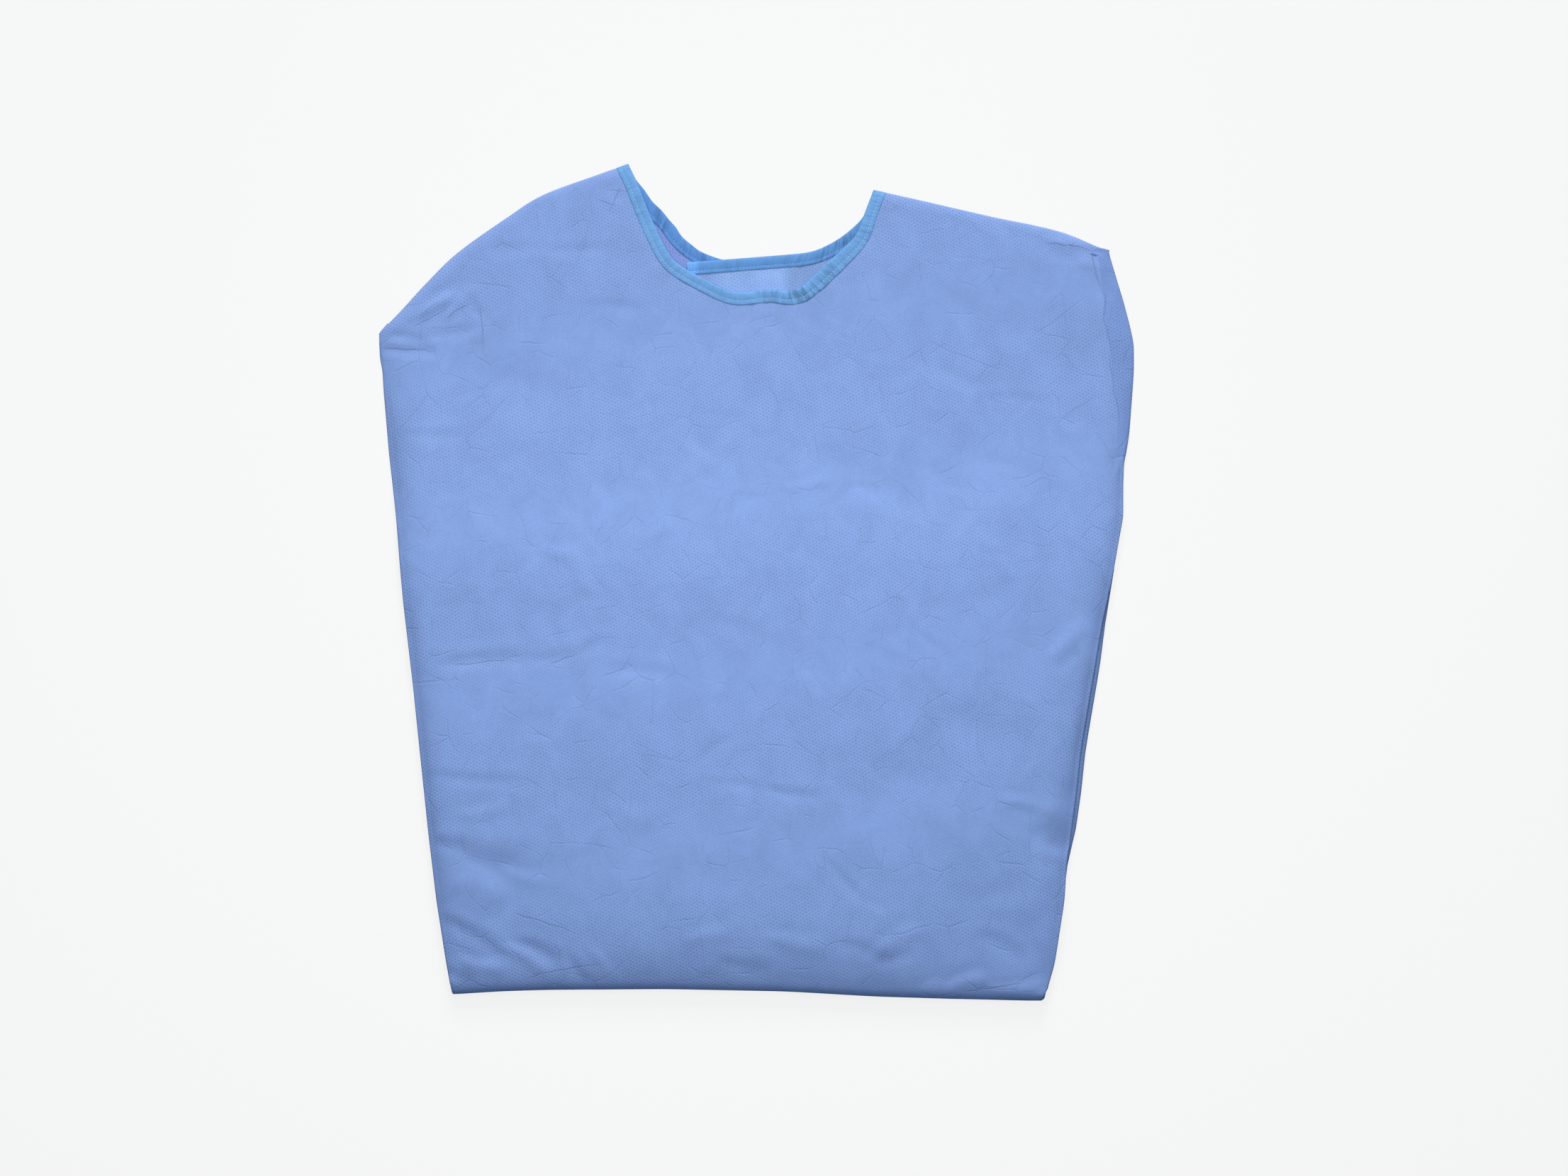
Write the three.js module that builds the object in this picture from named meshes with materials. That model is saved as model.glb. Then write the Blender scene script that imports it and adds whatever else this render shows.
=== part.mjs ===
import * as THREE from "three";

// A surgical gown of embossed nonwoven, folded for storage and laid front up.
// Its sleeves and slanted sides are folded behind, and the skirt is turned up behind.
// Millimetres: X to the right of the front, Y towards the neck, Z up from the surface below.

// Driving sizes
const CLOTH = 1.5;
const INNER_CLOTH = 1.0;
const GAP = 0.3;
const BINDING_WIDTH = 11.3;
const LIP_END = 0.15;
const BOTTOM_ROLL = 11;
const BOTTOM_SIDE_ROLL = 3.5;
const SKIRT_ROLL = 4.4;
const SKIRT_TUCK = 8;
const SIDE_TUCK = 30;
const SHOULDER_HEIGHT = 3.4;
const NECK_RISE = 25;
const HEM_Y = 12;
const BACK_PANEL_END = 175;
const CORE_TOP_Y = 163;
const CORE_CLEARANCE = 0.8;
const LOBE_CLEARANCE = 1.8;
const FOLD_ALLOWANCE = 1.8;

// How many columns of cells each stretch of the top edge has
const LEFT_SHOULDER_CELLS = 11;
const NECK_CELLS = 20;
const RIGHT_SHOULDER_CELLS = 9;
const LEFT_SLEEVE_CELLS = 3;

// The upper bundle's top surface and the height of its underside, along the gown
const LAYERS = [
  { y: -366, top: 22.4, base: 8.8 },
  { y: -357, top: 22.4, base: 8.8 },
  { y: -325, top: 22.5, base: 9.6 },
  { y: -230, top: 22.0, base: 9.6 },
  { y: -100, top: 21.0, base: 9.6 },
  { y: 12, top: 19.2, base: 9.6 },
  { y: 50, top: 16.4, base: 5.6 },
  { y: 85, top: 13.2, base: 1.6 },
  { y: 112, top: 11.6, base: 0 },
  { y: 165, top: 8.8, base: 0 },
  { y: 200, top: 7.2, base: 0 },
  { y: 230, top: 6.7, base: 0 },
  { y: 290, top: 6.8, base: 0 },
  { y: 312, top: 6.0, base: 0 },
  { y: 345, top: 5.3, base: 0 },
  { y: 380, top: 5.2, base: 0 },
];

// How far the top surface drops towards the soft bottom fold, by the distance from its edge
const BOTTOM_DROP = [
  { distance: 4, drop: 8.9 }, { distance: 11, drop: 6.6 }, { distance: 20, drop: 4.4 },
  { distance: 33, drop: 2.1 }, { distance: 42, drop: 1.1 }, { distance: 52, drop: 0.4 },
  { distance: 62, drop: 0 },
];
const FOLD_TURN = 0.5;
const LEFT_CORNER_X = -275;
const BOTTOM_MIDDLE_X = -79;
const RIGHT_CORNER_X = 260;

// Outline seen from above: the side folds, from the bottom corners up
const LEFT_EDGE = [
  { y: -373, x: -275 }, { y: -345, x: -280 }, { y: -287, x: -289 }, { y: -229, x: -296 },
  { y: -172, x: -302 }, { y: -95, x: -310 }, { y: -18, x: -319 }, { y: 59, x: -326 },
  { y: 116, x: -333 }, { y: 174, x: -338 }, { y: 193, x: -339 }, { y: 203, x: -341.5 },
  { y: 225, x: -342 },
];
const RIGHT_EDGE = [
  { y: -378, x: 260.5 }, { y: -364, x: 264 }, { y: -345, x: 269.5 }, { y: -287, x: 278.5 },
  { y: -252, x: 280.5 }, { y: -229, x: 284 }, { y: -191, x: 289 }, { y: -153, x: 293 },
  { y: -114, x: 299.5 }, { y: -76, x: 306 }, { y: -37, x: 312.5 }, { y: 1, x: 321 },
  { y: 39, x: 328 }, { y: 59, x: 332 }, { y: 97, x: 332.5 }, { y: 109, x: 333 },
  { y: 116, x: 335 }, { y: 135, x: 338 }, { y: 174, x: 341 }, { y: 193, x: 342.2 },
  { y: 216, x: 342.2 }, { y: 231, x: 339 }, { y: 254, x: 333 }, { y: 277, x: 326 },
  { y: 300.5, x: 319 },
];

// The armhole seam of the right sleeve, carried on down the front as a plain line of points
const RIGHT_SEAM = [
  { y: -367, x: 246 }, { y: -229, x: 267 }, { y: -37, x: 296 }, { y: 59, x: 315 },
  { y: 112, x: 326 }, { y: 161, x: 326.5 }, { y: 205, x: 321 }, { y: 261, x: 313.5 },
  { y: 303, x: 309 },
];

// The turned-up skirt below: its side folds and the bottom fold's line
const SKIRT_LEFT = [
  { y: -373, x: -275 }, { y: -345, x: -278 }, { y: -287, x: -286 }, { y: -229, x: -293 },
  { y: -95, x: -307 }, { y: 12, x: -318 },
];
const SKIRT_RIGHT = [
  { y: -378, x: 260.5 }, { y: -364, x: 264 }, { y: -345, x: 269.5 }, { y: -287, x: 278 },
  { y: -250, x: 282.5 }, { y: -229, x: 288.5 }, { y: -191, x: 294 }, { y: -153, x: 298 },
  { y: -114, x: 304.5 }, { y: -76, x: 311 }, { y: -37, x: 316 }, { y: 12, x: 324 },
];
const BOTTOM_EDGE = [
  { x: -275, y: -373 }, { x: -232, y: -370 }, { x: -186, y: -368.5 }, { x: -79, y: -367.8 },
  { x: 29, y: -370 }, { x: 106, y: -374.5 }, { x: 170, y: -376.5 }, { x: 260.5, y: -378.6 },
];

// Outline seen from above: the shoulders and the necklines, from left to right
const LEFT_SHOULDER = [
  { x: -338.5, y: 229 }, { x: -321, y: 247 }, { x: -298, y: 272 }, { x: -270, y: 299 },
  { x: -225, y: 331 }, { x: -193, y: 351 }, { x: -143, y: 369.5 }, { x: -116, y: 379.2 },
];
const FRONT_NECK = [
  { x: -116, y: 379.2 }, { x: -106, y: 358 }, { x: -97, y: 334.5 }, { x: -80, y: 299 },
  { x: -68, y: 286.5 }, { x: -40, y: 271 }, { x: -19, y: 262.5 }, { x: 12, y: 265 },
  { x: 32, y: 263.5 }, { x: 41, y: 267.5 }, { x: 54, y: 280 }, { x: 81, y: 305 },
  { x: 91, y: 316 }, { x: 97, y: 332 }, { x: 106, y: 355.5 },
];
const RIGHT_SHOULDER = [
  { x: 106, y: 355.5 }, { x: 146, y: 346.6 }, { x: 214, y: 331 }, { x: 251, y: 323.5 },
  { x: 280, y: 316 }, { x: 309, y: 304 },
];
const BACK_LEFT_NECK = [
  { x: -112, y: 369 }, { x: -97, y: 349 }, { x: -90, y: 339 }, { x: -80, y: 330.5 },
  { x: -70, y: 316 }, { x: -56, y: 303 }, { x: -40, y: 295 }, { x: -24, y: 291.5 },
  { x: 8, y: 287 }, { x: 45, y: 286 },
];
const BACK_RIGHT_NECK = [
  { x: -63, y: 290 }, { x: -29, y: 292.5 }, { x: 8, y: 295.4 }, { x: 45, y: 298.6 },
  { x: 58, y: 302.4 }, { x: 77, y: 313 }, { x: 97, y: 331 }, { x: 102, y: 344 },
];
const BACK_LEFT_SHOULDER = [
  { x: -303, y: 264 }, { x: -270, y: 297.5 }, { x: -225, y: 329.5 }, { x: -193, y: 349.5 },
  { x: -143, y: 368 }, { x: -117, y: 377 },
];
const BACK_RIGHT_SHOULDER = [
  { x: 107, y: 353 }, { x: 146, y: 345 }, { x: 214, y: 329.5 }, { x: 251, y: 322 },
  { x: 286, y: 312 },
];

// The largest creases: soft ridges (height above 0) and troughs (below 0) between two points
const CREASES = [
  { x1: -70, y1: -150, x2: -72, y2: -364, width: 13, height: -0.8 },
  { x1: -283, y1: -73, x2: -150, y2: -65, width: 13, height: -0.8 },
  { x1: -150, y1: -65, x2: -72, y2: -84, width: 13, height: -0.7 },
  { x1: 230, y1: 160, x2: 155, y2: 80, width: 28, height: -1.3 },
  { x1: 240, y1: -110, x2: 97, y2: -227, width: 30, height: -1.4 },
  { x1: 8, y1: 106, x2: 45, y2: 80, width: 14, height: 1.1 },
  { x1: 166, y1: 59, x2: 219, y2: 33, width: 14, height: 0.9 },
  { x1: -193, y1: 27, x2: -151, y2: 12, width: 14, height: 0.9 },
  { x1: -294, y1: -239, x2: -236, y2: -248, width: 16, height: -1.4 },
  { x1: 251, y1: -227, x2: 276, y2: -237, width: 14, height: -1.4 },
  { x1: -218, y1: -338, x2: -175, y2: -356, width: 10, height: 1.3 },
  { x1: 163, y1: -366, x2: 204, y2: -352, width: 12, height: 1.3 },
  { x1: 205, y1: -366, x2: 262, y2: -356, width: 10, height: 1.0 },
  { x1: -310, y1: 214, x2: -250, y2: 246, width: 12, height: 1.0 },
  { x1: -335, y1: 197, x2: -305, y2: 201, width: 9, height: -0.9 },
  { x1: -257, y1: 181, x2: -178, y2: 170, width: 22, height: -1.1 },
  { x1: 209, y1: 157, x2: 260, y2: 163, width: 12, height: -0.8 },
];

const BINDING_COLOUR = 0x6fa2db;
const CLOTH_COLOUR = 0x85a3dc;
const INSIDE_COLOUR = 0x90b0e6;

// Value of one column of a table at a place along another column, straight between rows
function lookUp(table, key, at, column) {
  const last = table.length - 1;
  if (at <= table[0][key]) return table[0][column];
  if (at >= table[last][key]) return table[last][column];
  const next = table.findIndex((row) => row[key] > at);
  const low = table[next - 1];
  const high = table[next];
  const share = (at - low[key]) / (high[key] - low[key]);
  return low[column] + share * (high[column] - low[column]);
}

function mix(a, b, share) {
  return a + (b - a) * share;
}

function smoothStep(value) {
  const t = Math.min(1, Math.max(0, value));
  return t * t * (3 - 2 * t);
}

// Points at equal steps along an open outline, with the share of its length at each
function pointsAlong(outline, steps) {
  const path = new THREE.CurvePath();
  for (let k = 1; k < outline.length; k += 1) {
    const from = new THREE.Vector2(outline[k - 1].x, outline[k - 1].y);
    const to = new THREE.Vector2(outline[k].x, outline[k].y);
    path.add(new THREE.LineCurve(from, to));
  }
  const points = [];
  for (let k = 0; k <= steps; k += 1) points.push(path.getPointAt(k / steps));
  return points;
}

// Directions from an edge into the cloth, lengthened at corners so that an inset is even
function inwardDirections(points) {
  return points.map((point, k) => {
    const before = points[Math.max(0, k - 1)];
    const after = points[Math.min(points.length - 1, k + 1)];
    const arriving = point.clone().sub(before);
    const leaving = after.clone().sub(point);
    if (k === 0) arriving.copy(leaving);
    if (k === points.length - 1) leaving.copy(arriving);
    arriving.normalize();
    leaving.normalize();
    const inward = new THREE.Vector2(arriving.y + leaving.y, -arriving.x - leaving.x).normalize();
    const across = inward.x * arriving.y - inward.y * arriving.x;
    return inward.multiplyScalar(1 / Math.max(0.6, across));
  });
}

function inset(point, direction, distance) {
  return new THREE.Vector2(point.x + direction.x * distance, point.y + direction.y * distance);
}

// Height that the creases add at a place
function creaseHeight(x, y) {
  let sum = 0;
  for (const crease of CREASES) {
    const dx = crease.x2 - crease.x1;
    const dy = crease.y2 - crease.y1;
    const along = ((x - crease.x1) * dx + (y - crease.y1) * dy) / (dx * dx + dy * dy);
    const nearest = Math.min(1, Math.max(0, along));
    const away = Math.hypot(x - crease.x1 - nearest * dx, y - crease.y1 - nearest * dy);
    sum += crease.height * Math.exp(-((away / crease.width) ** 2));
  }
  return sum;
}

// The bundle's top surface without its creases
function layerTop(x, y) {
  const distance = y - lookUp(BOTTOM_EDGE, "x", x, "y");
  return lookUp(LAYERS, "y", y, "top") - lookUp(BOTTOM_DROP, "distance", distance, "drop");
}

function topHeight(x, y) {
  return layerTop(x, y) + creaseHeight(x, y);
}

function sideRoll(x, y) {
  return (layerTop(x, y) - lookUp(LAYERS, "y", y, "base")) / 2;
}

// A geometry from points and triangles, turned so that its faces point out
function solidFrom(points, triangles) {
  let volume = 0;
  for (const [a, b, c] of triangles) {
    volume += points[a].dot(points[b].clone().cross(points[c]));
  }
  const faces = volume > 0 ? triangles : triangles.map(([a, b, c]) => [a, c, b]);
  const geometry = new THREE.BufferGeometry();
  geometry.setAttribute("position", new THREE.Float32BufferAttribute(
    points.flatMap((point) => [point.x, point.y, point.z]), 3));
  geometry.setIndex(faces.flat());
  geometry.computeVertexNormals();
  return geometry;
}

// Outward normals of a grid of points, row by row from the top edge down
function gridNormals(grid) {
  const lastRow = grid.length - 1;
  const lastColumn = grid[0].length - 1;
  return grid.map((row, j) => row.map((point, i) => {
    const across = row[Math.min(lastColumn, i + 1)].clone().sub(row[Math.max(0, i - 1)]);
    const down = grid[Math.min(lastRow, j + 1)][i].clone().sub(grid[Math.max(0, j - 1)][i]);
    return down.cross(across).normalize();
  }));
}

// A wall of cloth: the chosen cells of a grid, a copy moved in by the thickness, and the rim.
// Where a chosen cell meets one that belongs to another piece, the edge draws back half a gap.
function wall(grid, normals, thickness, isChosen) {
  const rows = grid.length - 1;
  const columns = grid[0].length - 1;
  const chosen = (i, j) => i >= 0 && j >= 0 && i < columns && j < rows && isChosen(i, j);
  const points = [];
  const outer = new Map();
  const key = (i, j) => j * (columns + 1) + i;

  function placePoint(i, j) {
    if (outer.has(key(i, j))) return outer.get(key(i, j));
    const drawBack = new THREE.Vector3();
    let isSeam = false;
    for (const [ci, cj] of [[i - 1, j - 1], [i, j - 1], [i - 1, j], [i, j]]) {
      if (ci < 0 || cj < 0 || ci >= columns || cj >= rows) continue;
      if (!chosen(ci, cj)) {
        isSeam = true;
        continue;
      }
      const centre = grid[cj][ci].clone().add(grid[cj + 1][ci]);
      centre.add(grid[cj][ci + 1]).add(grid[cj + 1][ci + 1]).multiplyScalar(0.25);
      drawBack.add(centre.sub(grid[j][i]).normalize());
    }
    const place = grid[j][i].clone();
    if (isSeam) place.addScaledVector(drawBack.normalize(), 0.65 * GAP);
    const index = points.length;
    points.push(place, place.clone().addScaledVector(normals[j][i], -thickness));
    outer.set(key(i, j), index);
    return index;
  }

  const triangles = [];
  for (let j = 0; j < rows; j += 1) {
    for (let i = 0; i < columns; i += 1) {
      if (!chosen(i, j)) continue;
      const a = placePoint(i, j);
      const b = placePoint(i, j + 1);
      const c = placePoint(i + 1, j + 1);
      const d = placePoint(i + 1, j);
      triangles.push([a, b, c], [a, c, d], [a + 1, c + 1, b + 1], [a + 1, d + 1, c + 1]);
      const sides = [[a, b, i - 1, j], [b, c, i, j + 1], [c, d, i + 1, j], [d, a, i, j - 1]];
      for (const [from, to, ni, nj] of sides) {
        if (chosen(ni, nj)) continue;
        triangles.push([to, from, from + 1], [to, from + 1, to + 1]);
      }
    }
  }
  return solidFrom(points, triangles);
}

// Triangles that fill a flat outline, running the same way round as its points
function capFaces(outline) {
  const faces = THREE.ShapeUtils.triangulateShape(outline, []);
  return THREE.ShapeUtils.isClockWise(outline) ? faces.map(([a, b, c]) => [a, c, b]) : faces;
}

// A solid through closed sections of equally many points, capped flat at both ends
function loft(sections, capShape) {
  const count = sections[0].length;
  const points = sections.flat();
  const triangles = [];
  for (let s = 0; s + 1 < sections.length; s += 1) {
    for (let k = 0; k < count; k += 1) {
      const a = s * count + k;
      const b = s * count + ((k + 1) % count);
      triangles.push([a, b, b + count], [a, b + count, a + count]);
    }
  }
  const lastRow = sections.length - 1;
  for (const [a, b, c] of capFaces(capShape(0))) triangles.push([a, c, b]);
  for (const face of capFaces(capShape(lastRow))) {
    triangles.push(face.map((k) => k + lastRow * count));
  }
  return solidFrom(points, triangles);
}

// The outer surface of the front: one grid from the neck and shoulders down, round the bottom
// fold and on under the gown to the hem, with the side folds as its outermost columns.
const NECK_LIP = GAP + INNER_CLOTH;
const ROW_SHARES = [
  1, 0.963, 0.925, 0.88, 0.83, 0.78, 0.727, 0.67, 0.61, 0.55, 0.49, 0.43,
  0.37, 0.315, 0.26, 0.21, 0.165, 0.125, 0.09, 0.06, 0.034, 0.015, 0,
];
const EDGE_ROW_INSETS = [0, 4];
const BOTTOM_ROLL_STEPS = 6;
const SIDE_ROLL_STEPS = 5;
const SKIRT_ROWS_Y = [-330, -230, -100, HEM_Y];
const BOTTOM_NECK_LEFT = -100;
const BOTTOM_NECK_RIGHT = 95;

function frontGrid() {
  const leftShoulder = pointsAlong(LEFT_SHOULDER, LEFT_SHOULDER_CELLS);
  const neck = pointsAlong(FRONT_NECK, NECK_CELLS);
  const rightShoulder = pointsAlong(RIGHT_SHOULDER, RIGHT_SHOULDER_CELLS);
  const edge = [...leftShoulder, ...neck.slice(1), ...rightShoulder.slice(1)];
  const inward = inwardDirections(edge);
  inward[0].set(0, -1.43);
  inward[edge.length - 1].set(0.1, -1.12);
  const last = edge.length - 1;
  const neckStart = LEFT_SHOULDER_CELLS;
  const neckEnd = LEFT_SHOULDER_CELLS + NECK_CELLS;

  // How far each place on the top edge is from the shoulders, as a share of the rise
  const neckShare = edge.map((point, k) => {
    if (k <= neckStart || k >= neckEnd) return 0;
    const left = point.distanceTo(edge[neckStart]);
    const right = point.distanceTo(edge[neckEnd]);
    return smoothStep(Math.min(left, right) / NECK_RISE);
  });
  const lip = neckShare.map((share, k) => (k < neckStart || k > neckEnd ? 0 : NECK_LIP));

  const bottomX = edge.map((point, k) => {
    const lowLeft = BOTTOM_EDGE[0].x + BOTTOM_SIDE_ROLL;
    const lowRight = RIGHT_SEAM[0].x;
    if (k <= neckStart) return mix(lowLeft, BOTTOM_NECK_LEFT, k / neckStart);
    if (k <= neckEnd) {
      return mix(BOTTOM_NECK_LEFT, BOTTOM_NECK_RIGHT, (k - neckStart) / NECK_CELLS);
    }
    return mix(BOTTOM_NECK_RIGHT, lowRight, (k - neckEnd) / RIGHT_SHOULDER_CELLS);
  });
  const bottomY = (x) => lookUp(BOTTOM_EDGE, "x", x, "y") + BOTTOM_ROLL;

  const rows = [];
  const up = new THREE.Vector3(0, 0, 1);

  // A row of the grid: the points across, then both side folds
  function addRow(across, facing, leftEdge, rightEdge, leftRoll, rightRoll, tuck) {
    const lift = (point, height) => new THREE.Vector3(point.x, point.y, point.z + height);
    const sideFold = (start, fold, roll) => {
      const out = fold.clone().sub(start);
      const columns = [];
      for (let k = 1; k <= SIDE_ROLL_STEPS; k += 1) {
        const turn = (Math.PI * k) / SIDE_ROLL_STEPS;
        const place = start.clone().addScaledVector(out, Math.sin(turn));
        columns.push(place.addScaledVector(facing, -roll * (1 - Math.cos(turn))));
      }
      const end = lift(columns[columns.length - 1], 0);
      end.x -= Math.sign(out.x) * tuck.length;
      end.y -= tuck.drop;
      columns.push(end);
      return columns;
    };
    const seamPoint = across[across.length - 1];
    const wayIn = seamPoint.clone().sub(rightEdge);
    const rightStart = rightEdge.clone().addScaledVector(wayIn.normalize(), rightRoll);
    const left = sideFold(across[0], leftEdge, leftRoll).reverse();
    const right = sideFold(rightStart, rightEdge, rightRoll);
    rows.push([...left, ...across, rightStart, ...right]);
  }

  // Rows along the top edge, level with the neck binding, then evenly down the front
  const edgeRows = [...EDGE_ROW_INSETS, BINDING_WIDTH].map((distance) => edge.map(
    (point, k) => inset(point, inward[k], Math.max(distance, lip[k]))));
  const top = edgeRows[EDGE_ROW_INSETS.length];
  const topShare = (distance) => Math.sqrt(1 - (1 - Math.min(1, distance / 10)) ** 2);
  EDGE_ROW_INSETS.forEach((distance, j) => {
    const across = edgeRows[j].map((point, k) => {
      const full = topHeight(point.x, point.y);
      const rounded = mix(SHOULDER_HEIGHT, full, topShare(distance));
      return new THREE.Vector3(point.x, point.y, mix(rounded, full, neckShare[k]));
    });
    const leftY = Math.min(across[0].y, 225);
    const leftFold = new THREE.Vector3(lookUp(LEFT_EDGE, "y", leftY, "x"), leftY, across[0].z);
    const rightY = Math.min(across[last].y, 300.5);
    const rightFold = new THREE.Vector3(
      lookUp(RIGHT_EDGE, "y", rightY, "x"), rightY, across[last].z);
    const tuck = { length: 12 + 4 * j, drop: 2 + j };
    addRow(across, up, leftFold, rightFold, across[0].z / 2, across[last].z / 2, tuck);
  });

  for (const share of ROW_SHARES) {
    const leftY = mix(bottomY(bottomX[0]), top[0].y, share);
    const rightY = mix(bottomY(bottomX[last]), top[last].y, share);
    const leftRoll = sideRoll(LEFT_CORNER_X, leftY);
    const rightRoll = sideRoll(RIGHT_CORNER_X, rightY);
    const leftX = lookUp(LEFT_EDGE, "y", leftY, "x");
    const straight = (k) => new THREE.Vector2(
      mix(bottomX[k], top[k].x, share), mix(bottomY(bottomX[k]), top[k].y, share));
    const leftPull = new THREE.Vector2(leftX + leftRoll, leftY).sub(straight(0));
    const rightPull = new THREE.Vector2(lookUp(RIGHT_SEAM, "y", rightY, "x"), rightY);
    rightPull.sub(straight(last));
    const across = edge.map((point, k) => {
      const place = straight(k);
      place.addScaledVector(leftPull, 1 - k / last).addScaledVector(rightPull, k / last);
      return new THREE.Vector3(place.x, place.y, topHeight(place.x, place.y));
    });
    const leftFold = new THREE.Vector3(leftX, leftY, across[0].z);
    const rightX = lookUp(RIGHT_EDGE, "y", rightY, "x");
    const rightFold = new THREE.Vector3(rightX, rightY, across[last].z);
    const leftDepth = (across[0].z - lookUp(LAYERS, "y", leftY, "base")) / 2;
    const rightDepth = (across[last].z - lookUp(LAYERS, "y", rightY, "base")) / 2;
    const tuck = { length: share === 1 ? 22 : SIDE_TUCK, drop: share === 1 ? 2 : 0 };
    addRow(across, up, leftFold, rightFold, leftDepth, rightDepth, tuck);
  }

  // Rows round the bottom fold, an ellipse that starts with the slope of the drop
  const rightBottomX = lookUp(RIGHT_EDGE, "y", -367, "x");
  const rollReach = BOTTOM_ROLL / (1 - Math.sin(FOLD_TURN));
  for (let step = 1; step <= BOTTOM_ROLL_STEPS; step += 1) {
    const turn = mix(FOLD_TURN, Math.PI, step / BOTTOM_ROLL_STEPS);
    const facing = new THREE.Vector3(0, -Math.sin(turn), Math.cos(turn));
    const rollPoint = (x, foldX) => {
      const half = layerTop(foldX, bottomY(foldX)) / (1 + Math.cos(FOLD_TURN));
      return new THREE.Vector3(
        x, bottomY(foldX) - BOTTOM_ROLL + rollReach * (1 - Math.sin(turn)),
        half * (1 + Math.cos(turn)));
    };
    const across = bottomX.map((x) => rollPoint(x, x));
    const leftFold = rollPoint(bottomX[0] - BOTTOM_SIDE_ROLL, bottomX[0]);
    const rightFold = rollPoint(mix(rightBottomX, 260.5, Math.sin(turn)), bottomX[last]);
    const tuck = { length: mix(SIDE_TUCK, SKIRT_TUCK, step / BOTTOM_ROLL_STEPS), drop: 0 };
    addRow(across, facing, leftFold, rightFold, BOTTOM_SIDE_ROLL, BOTTOM_SIDE_ROLL, tuck);
  }

  // Rows of the turned-up skirt underneath, flat where it rests, to the hem
  const down = new THREE.Vector3(0, 0, -1);
  for (const y of SKIRT_ROWS_Y) {
    const leftX = lookUp(SKIRT_LEFT, "y", y, "x");
    const rightX = lookUp(SKIRT_RIGHT, "y", y, "x");
    const spanLeft = leftX + SKIRT_ROLL;
    const spanRight = rightX - 16;
    const across = bottomX.map((x) => {
      const share = (x - bottomX[0]) / (bottomX[last] - bottomX[0]);
      return new THREE.Vector3(mix(spanLeft, spanRight, share), y, 0);
    });
    const tuck = { length: SKIRT_TUCK, drop: 0 };
    const leftFold = new THREE.Vector3(leftX, y, 0);
    const rightFold = new THREE.Vector3(rightX, y, 0);
    addRow(across, down, leftFold, rightFold, SKIRT_ROLL, SKIRT_ROLL, tuck);
  }
  return rows;
}

// Flat inner panel of one back: its shoulder and neck edge, then rows down to where it ends
function backPanelGrid(edge, endLeft, endRight, heightAt) {
  const inward = inwardDirections(edge);
  inward[0].set((endLeft.x - edge[0].x) / 90, -1.1);
  inward[edge.length - 1].set((endRight.x - edge[edge.length - 1].x) / 90, -1.1);
  const rows = [NECK_LIP, 4, BINDING_WIDTH].map((distance) => edge.map(
    (point, k) => inset(point, inward[k], distance)));
  const start = rows[rows.length - 1];
  const last = edge.length - 1;
  for (const share of [0.5, 1]) {
    rows.push(start.map((point, k) => new THREE.Vector2(
      mix(point.x, mix(endLeft.x, endRight.x, k / last), share),
      mix(point.y, BACK_PANEL_END, share))));
  }
  return rows.map((row) => row.map(
    (point) => new THREE.Vector3(point.x, point.y, heightAt(point.x))));
}

// A binding strip made from a panel's own points: it lies on the panel's edge and turns over it
function neckBinding(grid, normals, firstColumn, lastColumn, panelThickness) {
  const low = GAP;
  const high = GAP + INNER_CLOTH;
  const sections = [];
  const shape = [
    new THREE.Vector2(-11, low), new THREE.Vector2(-11, high), new THREE.Vector2(-4, high),
    new THREE.Vector2(GAP, high), new THREE.Vector2(high, low),
    new THREE.Vector2(high, -panelThickness), new THREE.Vector2(GAP, -panelThickness),
    new THREE.Vector2(GAP, low), new THREE.Vector2(-4, low),
  ];
  for (let i = firstColumn; i <= lastColumn; i += 1) {
    const [edgePoint, middle, inner] = [grid[0][i], grid[1][i], grid[2][i]];
    const facing = normals[1][i];
    const out = edgePoint.clone().sub(inner).setZ(0);
    const before = grid[0][Math.max(firstColumn, i - 1)];
    const after = grid[0][Math.min(lastColumn, i + 1)];
    const along = after.clone().sub(before).setZ(0).normalize();
    out.addScaledVector(along, -out.dot(along)).normalize();
    const rise = new THREE.Vector3(0, 0, 1);
    const at = (base, outward, height) => base.clone()
      .addScaledVector(out, outward).addScaledVector(rise, height);
    const tilt = 1 / Math.max(0.5, facing.z);
    sections.push([
      at(inner, 0, low * tilt), at(inner, 0, high * tilt), at(middle, 0, high * tilt),
      at(edgePoint, GAP, high), at(edgePoint, high, low),
      at(edgePoint, high, LIP_END - panelThickness),
      at(edgePoint, GAP, LIP_END - panelThickness),
      at(edgePoint, GAP, low), at(middle, 0, low * tilt),
    ]);
  }
  return loft(sections, () => shape);
}

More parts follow.
